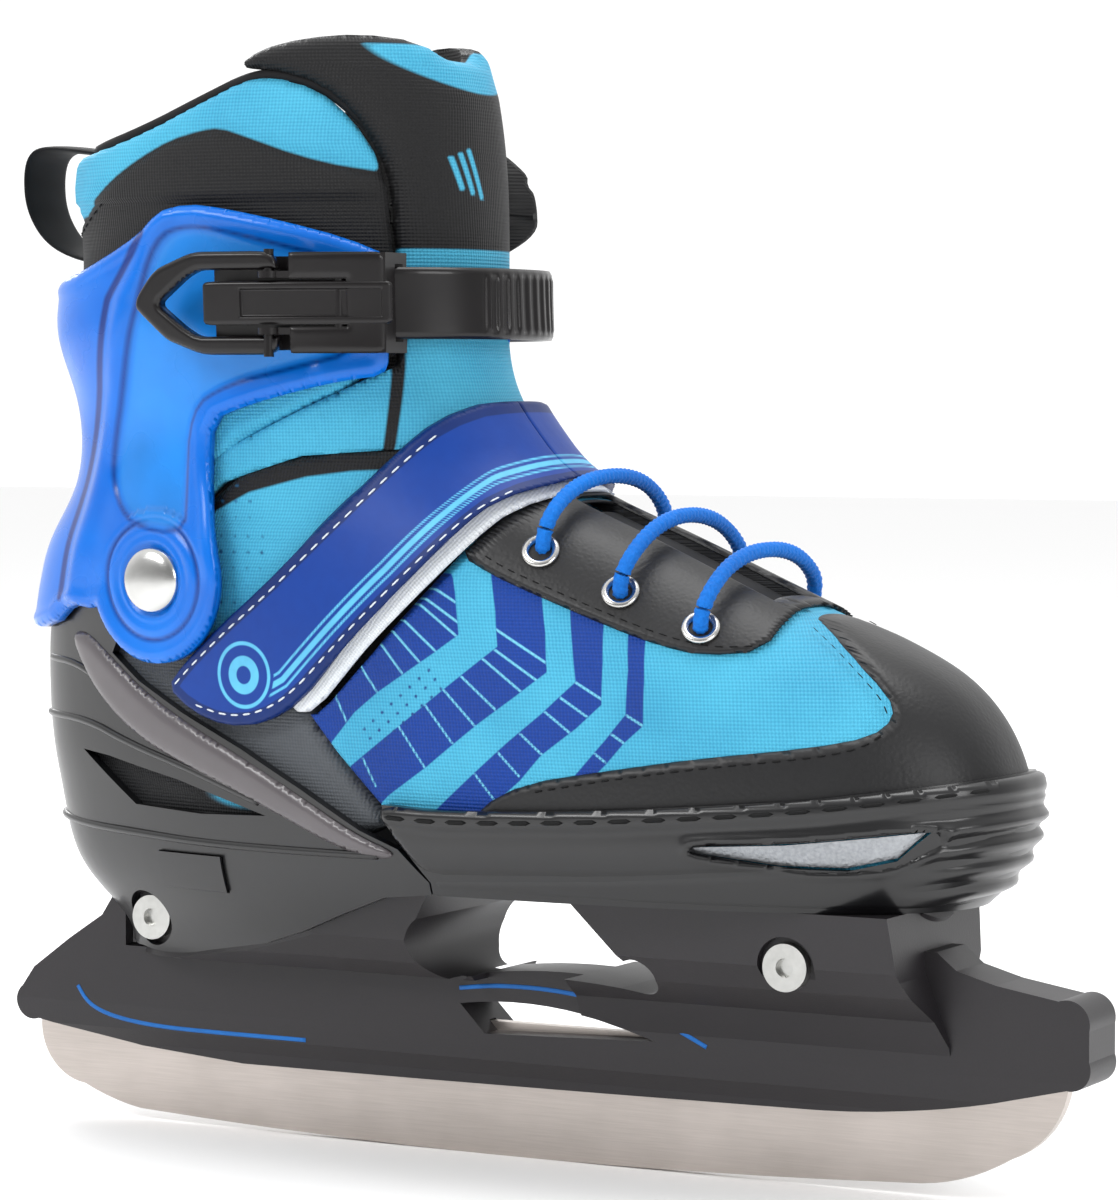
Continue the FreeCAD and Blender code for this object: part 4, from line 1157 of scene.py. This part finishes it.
@dataclass(frozen=True)
class Quarter:
    """Padded heel half of the soft boot and the instep strap over it."""

    thickness: float = 7.0

    def fields(self, spots: Array) -> dict[str, Array]:
        """Grey mesh below the strap, black bands, small holes, and a cyan leaf behind the vent.

        Args:
            spots: Points on the last.

        Returns:
            Distances to mesh, black band and holes.
        """
        flat = side_view(spots)
        x, z = flat[..., 0], flat[..., 1]
        leaf = np.hypot((x + 64.5) / 7.5, (z - 86.4 + 0.13 * (x + 64.5)) / 1.9) - 1
        mesh = signed(flat, np.array([(-140, 70), (0, 70), (-40, 114), (-60, 130), (-84, 120),
                                      (-140, 150)], float))
        top = np.array([(-84, 137.5), (-78, 155), (-70.6, 160.5), (-60.3, 165.5), (-44.2, 169.5),
                        (-32.3, 171), (-9, 172)], float)
        vent = signed(flat, np.array([(-118, 98), (-100, 98), (-50, 86), (-48, 80), (-100, 80)], float))
        bound = np.minimum(run_distance(flat, top) - 5.5, vent)
        holes = np.hypot((x / 4.0) % 1 - 0.5, (z / 4.0) % 1 - 0.5) * 4.0 - 0.55
        zone = np.hypot(x + 66, (z - 148) / 1.3) - 13
        return {"mesh": np.maximum(mesh, -leaf), "bound": np.maximum(bound, -leaf),
                "hole": np.maximum(holes, zone)}

    def build(self) -> None:
        """Builds the quarter, white strap and the blue strap's two halves."""
        quarter = [(-140, 73.5), (-10.5, 73.5), (-45.4, 112), (-41.6, 113), (-13, 141), (0, 155), (6, 162),
                   (20, 167), (8, 173), (-9, 172), (-45, 169.5), (-67, 163), (-84, 137.5), (-118, 137),
                   (-140, 137)]
        wall = Patch(shape(quarter, 1), lambda s, a: -0.15 + 0 * a, -self.thickness, (73, 174),
                     (0.0, FULL_TURN), (560, 84), 2.5, 2.0, lined=True, lining="bound", fields=self.fields)
        piece = dress(wall.build("quarter_padding", "frame", "grey_mesh"), "grey_mesh")
        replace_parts(piece, "heel_liner")
        top = STRAP_TOP[2:] + [(24, 186), (20, 162)]
        white = top + [(x + 2.6, z - 2.2) for x, z in STRAP_LOW[1:6]] + [(-44, 108.5)]
        tape = Patch(shape(white, 1), 2.0, 0.3, (104, 186), (0.9, FULL_TURN - 0.9), (640, 110), 0.7, 0.6)
        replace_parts(dress(tape.build("white_strap", "frame", "hook_tape"), "hook_tape"), "under_strap")
        band = shape(STRAP_TOP + [(24, 186)] + STRAP_LOW, 1)
        for name, body, side, node in (("strap_outer", "flap", Side.OUTER, "strap_flap"),
                                       ("strap_inner", "frame", Side.INNER, "strap_base")):
            cut = -4.0 - 0.15 * -side.value
            half = Patch(one_side(band, side, cut), 4.7, 2.35, (103, 186), (0.8, FULL_TURN - 0.8), (980, 190),
                         0.8, 0.6, lined=True, fields=self.strap_fields)
            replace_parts(dress(half.build(name, body, "strap_cloth"), "strap_cloth"), node)
        for name, body, side in (("strap_stitches_outer", "flap", Side.OUTER),
                                 ("strap_stitches_inner", "frame", Side.INNER)):
            low = [(8.2, 161.4), (2.2, 157), (-2.2, 152), (-14.4, 139.6), (-29.4, 125.3), (-42.2, 113),
                   (-52.4, 107.9), (-62.6, 106.9), (-72.6, 109.4)]
            high = [(-79, 113.4), (-74.9, 117), (-63.4, 126), (-49.8, 135.8), (-38.4, 145.9), (-26.2, 157.4),
                    (-16.4, 168.8), (-11, 174.4)]
            dress(sew(name, body, "strap_cloth", [low, high], 4.74, (side,), 2.6, 1.2, 0.5), "white_thread")

    def strap_fields(self, spots: Array) -> dict[str, Array]:
        """A darker binding along the edges, and three stripes beside the lower edge with a round badge.

        Args:
            spots: Points on the last.

        Returns:
            Distances to the binding and to the pale print.
        """
        flat = side_view(spots)
        edge = signed(flat, rounded(STRAP_TOP + [(24, 186)] + STRAP_LOW, 1))
        low = run_distance(flat, np.array(STRAP_LOW[:7], float))
        lines = ((4.7, 0.3), (6.5, 0.7), (8.4, 0.3))
        stripes = np.minimum.reduce([np.abs(low - place) - width for place, width in lines])
        centre = np.hypot(flat[..., 0] + 56.5, flat[..., 1] - 117)
        stripes = np.maximum(stripes, 9.0 - centre)
        stripes = np.maximum(stripes, -54 - flat[..., 0])
        badge = np.minimum(np.abs(centre - 7.6) - 0.45, np.maximum(np.abs(centre - 3.4) - 1.2, -5.0))
        return {"binding": -3.0 - edge, "stripe": np.minimum(stripes, badge)}


@dataclass(frozen=True)
class Cuff:
    """Hinged ankle cuff with the collar and tongue it carries, rivets and the toothed strap."""

    wall: float = 3.0
    pivot: Pair = (-83.0, 139.0)
    ear: float = 20.2
    cap_seat: float = 38.99
    reach: float = 2.5

    def region(self, spots: Array) -> Array:
        """The cuff's outline joined with its round ears.

        Args:
            spots: Points on the last.

        Returns:
            The lesser of the two distances.
        """
        body = [(-145, 124.5), (-145, 210), (-112, 212), (-97, 217), (-86.3, 222), (-79.8, 227), (-72, 229),
                (-62, 227.6), (-47.6, 224.5), (-33.7, 220.5), (-24.5, 216), (-24.5, 192), (-26, 188),
                (-33.4, 187), (-42.8, 185), (-58, 181), (-67.5, 177.5), (-68, 165.5), (-65.9, 154),
                (-63.2, 143.5), (-70, 140), (-103, 131), (-112, 132.5), (-122, 126)]
        flat = side_view(spots)
        round_ear = np.hypot(flat[..., 0] - self.pivot[0], flat[..., 1] - self.pivot[1]) - self.ear
        return np.minimum(signed(flat, rounded(body, 1)), round_ear)

    def relief(self, spots: Array, away: Array) -> Array:
        """Stand-off over the cuff: a step down to the panel and to the rivet's pocket, and bells in the
        distance to two rings, the rim and the crest line.

        Args:
            spots: Points on the last.
            away: Signed distance to the outline.

        Returns:
            Stand-off at each point.
        """
        flat = side_view(spots)
        centre = np.hypot(flat[..., 0] - self.pivot[0], flat[..., 1] - self.pivot[1])
        panel = self.panel(flat)
        sunk = -1.1 / (1 + np.exp(panel * 2.2))
        ring = -0.7 * np.exp(-((centre - 14.5) / 0.9) ** 2) - 0.5 * np.exp(-((centre - 10.6) / 0.8) ** 2)
        pocket = -1.35 / (1 + np.exp((centre - 9.0) * 4))
        rim = 0.5 * np.exp(-((away + 2.4) / 1.3) ** 2)
        crest = np.array([(-77.6, 226.5), (-89.3, 206.5), (-94.7, 184.5), (-103.4, 158),
                          (-109.4, 134)], float)
        spine = 1.2 * np.exp(-(run_distance(flat, crest) / 3.2) ** 2)
        return self.wall + 0.1 + sunk * (centre > 17) + ring + pocket + rim + spine * (centre > 16)

    @staticmethod
    def panel(flat: Array) -> Array:
        """Signed distance to the lighter panel on the cuff's side.

        Args:
            flat: Pairs of x and z.

        Returns:
            Distances, below zero on the panel.
        """
        return signed(flat, rounded([(-86, 205), (-80, 221), (-72, 224), (-60, 222), (-30, 214), (-30, 194),
                                     (-45, 190), (-62, 186), (-73, 180), (-74, 160), (-73, 150), (-90, 152),
                                     (-97.5, 160), (-97, 170), (-91, 188)], 2))

    def fields(self, spots: Array) -> dict[str, Array]:
        """Painted shade in deep blue along the grooves, and light blue on the panel.

        Args:
            spots: Points on the last.

        Returns:
            Distances to both.
        """
        flat = side_view(spots)
        centre = np.hypot(flat[..., 0] - self.pivot[0], flat[..., 1] - self.pivot[1])
        crest = np.array([(-84, 222), (-95, 206.5), (-100.7, 184.5), (-109.4, 158), (-115.4, 134)], float)
        panel = self.panel(flat)
        # painted shade: deep blue along the crest's groove, the ring round the rivet and the panel's edge
        groove_shade_mask = np.minimum.reduce([run_distance(flat, crest) - 1.2, np.abs(centre - 14.5) - 0.5,
                                    np.abs(panel) - 0.4])
        return {"groove_shade": groove_shade_mask, "light": panel + 1.0}

    def collar_fields(self, spots: Array) -> dict[str, Array]:
        """Black leather across the collar's middle and at its front edge, cyan weave above and below.

        Args:
            spots: Points on the last.

        Returns:
            Distance to the leather.
        """
        flat = side_view(spots)
        band = [(-145, 205), (-145, 226), (-114, 226.5), (-108, 230), (-99, 235.5), (-88.9, 240.5),
                (-79.4, 244.5), (-70.3, 246.5), (-65, 247), (-57.5, 244.5), (-45, 240), (-33.2, 237),
                (-10, 234), (-10, 196), (-80, 196)]
        front = -flat[..., 0] - 27.5
        return {"leather": np.minimum.reduce([signed(flat, rounded(band, 1)), front, 1.0 - self.flare(spots)])}

    @staticmethod
    def flare(spots: Array) -> Array:
        """How far the collar's inner front corner stands out beside the tongue: a sine of the height.

        Args:
            spots: Points on the last.

        Returns:
            Extra stand-off.
        """
        z = spots[..., 2]
        lift = np.clip((z - 216) / 10, 0, 1) * np.clip((251 - z) / 15, 0, 1)
        forward = 13.0 * np.clip((spots[..., 0] + 44) / 20, 0, 1)
        return forward * np.sin(lift * math.pi / 2) * (spots[..., 1] > 0)

    def build(self) -> None:
        """Builds cuff, rivets, collar, tongue and toothed strap."""
        walls = []
        for name, turns in (("cuff_wall_outer", (0.0, self.reach)),
                            ("cuff_wall_inner", (FULL_TURN - self.reach, FULL_TURN))):
            wall = Patch(self.region, self.relief, 0.0, (117, 230), turns, (430, 150), 1.4, 1.0, lined=True,
                         form=CUFF_FORM, fields=self.fields)
            walls.append(dress(wall.build(name, "cuff", "cuff_plastic"), "cuff_plastic"))
        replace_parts(walls[0], "cuff")
        self.build_rivets()
        collar = [(-145, 147), (-90, 143), (-72, 167), (-22, 190.5), (-22.6, 205), (-24.2, 221),
                  (-24.6, 232), (-27, 240), (-33, 249), (-41, 256), (-52.5, 259.5), (-60, 258.5),
                  (-70.6, 254), (-89, 247), (-108, 243), (-145, 241)]

        def plump(spots: Array, away: Array) -> Array:
            """Stand-off of the collar: full between its seams, with a bell drawn in along them.

            Args:
                spots: Points on the last.
                away: Signed distance to the outline.

            Returns:
                Stand-off at each point.
            """
            flat = side_view(spots)
            seam = run_distance(flat, np.array([(-140, 226), (-114, 226.5), (-99, 235.5), (-79.4, 244.5),
                                                (-65, 247), (-45, 240), (-24, 234.5)], float))
            full = 0.9 * np.clip(-away / 8, 0, 1) * (flat[..., 1] > 230)
            return full - 0.9 * np.exp(-(seam / 1.3) ** 2) + self.flare(spots)

        padding = Patch(shape(collar, 1), plump, -7.0, (142, 261), (0.0, FULL_TURN), (440, 100), 3.4, 3.2,
                        lined=True, lining="leather", fields=self.collar_fields)
        soft = dress(padding.build("collar_padding", "cuff", "lining_cloth"), "collar_cloth")
        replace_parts(soft, "collar")
        seams = [[(-124, 222), (-114, 223.5), (-108, 227), (-99, 232.5), (-88.9, 237.5), (-79.4, 241.5),
                  (-70.3, 243.5), (-65, 244), (-57.5, 241.5), (-45, 237), (-33.2, 234), (-27, 232)]]
        dress(sew("collar_stitches", "cuff", "black_leather", seams, 0.05, BOTH), "thread")
        rim = [(x, z + 0.2) for x, z in collar[6:-1][::-1]]
        piping = bead("collar_piping", "cuff", "black_leather", [rim], -3.4, BOTH, 1.5, 1.0)
        dress(piping, "webbing")
        self.build_tongue()
        self.build_gusset()
        self.build_ladder()
        self.build_loop()

    def build_tongue(self) -> None:
        """Padded tongue, cyan with a black leather border."""
        outline = [(-21, 197), (20, 197), (20, 258), (-16, 262), (-21, 267.5), (-32, 269), (-45, 268),
                   (-56, 265.5), (-62, 261.5), (-52, 260.4), (-40.5, 256.8), (-32.4, 249.6), (-26.4, 240.4),
                   (-24, 232), (-23.6, 221)]

        def fields(spots: Array) -> dict[str, Array]:
            """Black leather round the upper part, with a cyan cap at the crown and cyan below the strap.

            Args:
                spots: Points on the last.

            Returns:
                Distance to the leather.
            """
            x, y, z = spots[..., 0], spots[..., 1], spots[..., 2]
            crown = np.hypot((y - 2) / 2.2, z - 268) - 12.5
            band = np.maximum(218 - z, -crown)
            edge = np.minimum(np.minimum(y + 24, 24 - y) + 2, 266.5 - z)
            tall = np.abs(z - 236)
            lean = (z - 236) * 0.35
            dashes = np.minimum.reduce([np.maximum(np.abs((y + 6 + 3 * n) + lean) - 0.8, tall - 6 + n)
                                        for n in range(3)])
            return {"leather": np.maximum(np.minimum(band, edge), -dashes)}

        tongue = Patch(shape(outline, 1), lambda s, a: -0.2 + 0.8 * np.clip(-a / 8, 0, 1), -6.0, (196, 270),
                       (math.pi - 1.9, math.pi + 1.9), (300, 84), 3.0, 2.8, lined=True, lining="leather",
                       fields=fields)
        soft = dress(tongue.build("tongue_padding", "cuff", "cyan_weave"), "collar_cloth")
        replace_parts(soft, "tongue")

    def build_gusset(self) -> None:
        """Soft wall between quarter, collar and tongue, lying between the frame and the cuff on neither body.
        """
        outline = [(-86, 140), (-78, 153.5), (-67, 162.4), (-45, 169), (-9, 171.5), (8, 172.5), (24, 173),
                   (24, 197.2), (-21.5, 197.2), (-23, 190.5), (-72, 167.5), (-88, 145)]

        def fields(spots: Array) -> dict[str, Array]:
            """A black binding down both sides of the tongue."""
            return {"leather": np.abs(spots[..., 0] + 23.5) - 1.4}

        wall = Patch(shape(outline, 0), lambda s, a: -0.4 + 0.5 * np.clip((s[..., 0] + 22) / 5, 0, 1), -5.5,
                     (138, 199), (0.6, FULL_TURN - 0.6), (420, 60), 0.8, 0.5, lined=True, lining="leather",
                     fields=fields)
        piece = dress(wall.build("ankle_gusset", "", "cyan_weave"), "collar_cloth")
        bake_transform(piece)

    def build_loop(self) -> None:
        """Webbing loop: a flat oval bar along a smooth arch."""
        arch = [(-116.5, 216.5), (-127, 217.6), (-136, 222), (-141.4, 230), (-142.2, 239), (-140.4, 244.6),
                (-135, 245.9), (-116.5, 243.4)]
        flat = resampled(rounded(arch, 3, closed=False), 1.0)
        path = np.stack([flat[:, 0], np.zeros(len(flat)), flat[:, 1]], -1)
        ahead = np.gradient(path, axis=0)
        out = np.stack([-ahead[:, 2], np.zeros(len(flat)), ahead[:, 0]], -1)
        points, faces = tube(path, 9.0, 20, 0.1, out)
        piece = mesh_piece("webbing_loop", "cuff", "webbing", points, faces)
        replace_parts(dress(piece, "webbing"), "pull_loop")

    def build_rivets(self) -> None:
        """Domed caps: a flat spherical arc turned about the ankle axis, with the shank behind."""
        parts = []
        for side in BOTH:
            base = np.array([self.pivot[0], side.value * (self.cap_seat + 0.1), self.pivot[1]])
            dome = [(4.0, -4.6), (4.0, 0.0), (7.8, 0.0), (7.8, 0.9), (7.5, 1.5), (6.6, 2.1), (5.0, 2.6),
                    (3.0, 2.9), (0.8, 3.0)]
            parts.append(lathe(dome, base, np.array([0.0, side.value, 0.0])))
        points, faces = joined(parts)
        piece = mesh_piece("rivet_caps", "frame", "rivet_steel", points, faces)
        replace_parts(dress(piece, "rivet_steel"), "ankle_rivets")

    def build_ladder(self) -> None:
        """Toothed strap: upright ribs in its front stretch, spaced by the turn round the foot."""
        outline = [(-52, 196.6), (30, 196.6), (30, 213.4), (-52, 213.4)]

        def region(spots: Array) -> Array:
            """The strap's band, which ends further back on the inner side.

            Args:
                spots: Points on the last.

            Returns:
                Signed distance.
            """
            outer_cut = np.where(spots[..., 1] < 0, -44 - spots[..., 0], -99.0)
            return np.maximum(signed(side_view(spots), rounded(outline, 0)), outer_cut)

        def teeth(spots: Array, away: Array) -> Array:
            """Stand-off with ribs 3.6 mm apart in front of the tongue: a cosine of the way round, cut flat.

            Args:
                spots: Points on the last.
                away: Signed distance to the outline.

            Returns:
                Stand-off at each point.
            """
            y = spots[..., 1]
            place = np.arctan2(y, spots[..., 0] + 55) * 52
            rib = 0.5 + 0.5 * np.cos(place * FULL_TURN / 3.6)
            zone = np.clip((place + 16) / 2, 0, 1) * np.clip((46 - place) / 2, 0, 1)
            zone = zone * np.clip((-away - 1.6) / 0.6, 0, 1)
            return 10.3 + 0.6 * np.clip(rib * 1.6 - 0.3, 0, 1) * zone + 0.3 * (1 - zone)

        strap = Patch(region, teeth, 8.6, (196, 214), FRONT_TURNS, (900, 24), 0.7, 0.5, lined=True)
        piece = dress(strap.build("toothed_strap", "cuff", "buckle_plastic"), "buckle_plastic")
        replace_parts(piece, "ladder_strap")


@dataclass(frozen=True)
class Buckle:
    """Lever, release tab and cover of the ladder buckle, curved with the ankle."""

    roof: float = 15.0
    under: float = 11.95
    label_depth: float = 0.9
    turns: Pair = (1.2, 2.4)

    def label(self, spots: Array, away: Array) -> Array:
        """Stand-off of the tab: a blank label sunk into it.

        Args:
            spots: Points on the last.
            away: Signed distance to the outline; not used.

        Returns:
            Stand-off at each point.
        """
        border = np.array([(-55, 201.6), (-29.4, 201.6), (-29.4, 208.4), (-55, 208.4)])
        return self.roof + 0.35 - self.label_depth * np.clip(-signed(side_view(spots), border) / 0.4, 0, 1)

    def build(self) -> None:
        """Builds the three pieces that are seen."""
        loop = [(-45, 192.9), (-62, 192.9), (-72, 196.5), (-80.8, 204), (-80.8, 206), (-75, 213),
                (-64, 217.1), (-45, 217.1), (-42.4, 216), (-42.4, 194)]
        hole = [(-40, 197.2), (-63, 197.2), (-66.5, 199), (-74.6, 205), (-66.5, 211), (-63, 212.8),
                (-40, 212.8)]
        lever = Patch(less(shape(loop, 2, 3.0), shape(hole, 2, 2.0)), self.roof + 0.1, self.under, (191, 219),
                      self.turns, (420, 70), 1.3, 0.9, lined=True)
        piece = dress(lever.build("lever_loop", "lever", "buckle_plastic"), "buckle_plastic")
        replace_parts(piece, "buckle_lever")
        plate = [(-62.5, 199.9), (-27.7, 199.9), (-27.7, 210.1), (-62.5, 210.1)]
        tab = Patch(shape(plate, 2, 2.5), self.label, self.under - 0.2, (199, 211), self.turns, (520, 60),
                    0.9, 0.8, lined=True)
        piece = dress(tab.build("release_tab_skin", "tab", "buckle_plastic"), "buckle_plastic")
        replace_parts(piece, "release_tab")
        window = shape([(-48, 199.4), (-26.5, 199.4), (-26.5, 210.6), (-48, 210.6)], 0)
        roof = [(-39.6, 193.2), (-18.4, 193.2), (-18.4, 216.8), (-39.6, 216.8)]
        cover = Patch(less(shape(roof, 2, 2.0), window), self.roof + 0.1, self.roof - 0.7, (192, 218),
                      self.turns, (420, 60), 1.6, 0.5)
        dress(cover.build("buckle_cover", "cuff", "buckle_plastic"), "buckle_plastic")


@dataclass(frozen=True)
class Studio:
    """Pale floor, a bright room behind the skate, soft lamps and the camera; places in metres."""

    floor_reach: float = 6.0
    lamps: tuple[tuple[str, tuple[float, float, float], float, float], ...] = (
        ("key", (-0.7, -1.5, 1.3), 0.9, 17.0), ("side", (1.6, -0.9, 0.7), 0.8, 9.0),
        ("top", (0.1, 0.2, 1.8), 1.2, 14.0), ("rear", (-1.2, 1.2, 0.9), 0.9, 10.0))
    lamp_aim: tuple[float, float, float] = (0.0, 0.0, 0.13)
    sensor: float = 36.0
    lens: float = 125.7
    camera_aim: tuple[float, float, float] = (0.0069, 0.0, 0.1346)
    camera_turn: float = 28.5
    camera_rise: float = 2.8

    def build(self) -> None:
        """Builds everything round the skate."""
        self.build_floor()
        self.build_room()
        self.build_lamps()
        self.build_camera()

    def build_floor(self) -> None:
        """One square of white paper under the blade."""
        mesh = bpy.data.meshes.new("floor")
        reach = self.floor_reach
        corners = [(-reach, -reach, 0), (reach, -reach, 0), (reach, reach, 0), (-reach, reach, 0)]
        mesh.from_pydata(corners, [], [(0, 1, 2, 3)])
        floor = bpy.data.objects.new("floor", mesh)
        bpy.context.scene.collection.objects.link(floor)
        paper = Finish("pale paper", "#ffffff", "#ffffff", Texture.SMOOTH, 200.0, 0.0, 0.9, specular=0.1)
        mesh.materials.append(paper.build())

    def build_room(self) -> None:
        """A room bright above and behind the skate and dim in front, by the cosine to one direction."""
        world = bpy.data.worlds.new("studio")
        world.use_nodes = True
        tree = world.node_tree
        tree.nodes.clear()
        place = add(tree, "TexCoord", {}, {})
        facing = add(tree, "VectorMath", {"operation": "DOT_PRODUCT", 1: (-0.36, 0.63, 0.69)},
                     {0: place.outputs["Generated"]})
        glow = add(tree, "MapRange", {"From Min": -0.35, "From Max": 0.5, "To Min": 0.3, "To Max": 1.12},
                   {"Value": facing.outputs["Value"]})
        backdrop = add(tree, "Background", {}, {"Color": glow.outputs[0]})
        add(tree, "OutputWorld", {}, {"Surface": backdrop.outputs[0]})
        bpy.context.scene.world = world

    def build_lamps(self) -> None:
        """Soft boxes, seven tenths as tall as wide, turned to the middle of the boot."""
        for name, spot, size, power in self.lamps:
            light = bpy.data.lights.new(name, "AREA")
            light.shape = "RECTANGLE"
            light.size, light.size_y, light.energy = size, size * 0.7, power
            lamp = bpy.data.objects.new(name, light)
            lamp.location = spot
            lamp.rotation_euler = (Vector(self.lamp_aim) - Vector(spot)).to_track_quat("-Z", "Y").to_euler()
            bpy.context.scene.collection.objects.link(lamp)

    def build_camera(self) -> None:
        """A long lens one metre away, in front of the outer side and a little above."""
        scene = bpy.context.scene
        scene.view_settings.view_transform = "Standard"
        lens = bpy.data.cameras.new("camera")
        lens.sensor_width = self.sensor
        lens.sensor_fit = "VERTICAL"
        lens.sensor_height = self.sensor
        lens.lens = self.lens
        camera = bpy.data.objects.new("camera", lens)
        turn, rise = math.radians(self.camera_turn), math.radians(self.camera_rise)
        back = Vector((math.sin(turn) * math.cos(rise), -math.cos(turn) * math.cos(rise), math.sin(rise)))
        camera.location = Vector(self.camera_aim) + back
        camera.rotation_euler = (-back).to_track_quat("-Z", "Y").to_euler()
        scene.collection.objects.link(camera)
        scene.camera = camera


def main() -> None:
    """Builds the stage and the whole skate."""
    logging.basicConfig(level=logging.INFO, format="%(message)s")
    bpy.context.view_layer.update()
    for part in (Studio(), Runner(), HeelShell(), ToeShell(), Upper(), Laces(), Quarter(), Cuff(), Buckle()):
        part.build()
        log.info("built %s", type(part).__name__)


if __name__ == "__main__":
    main()
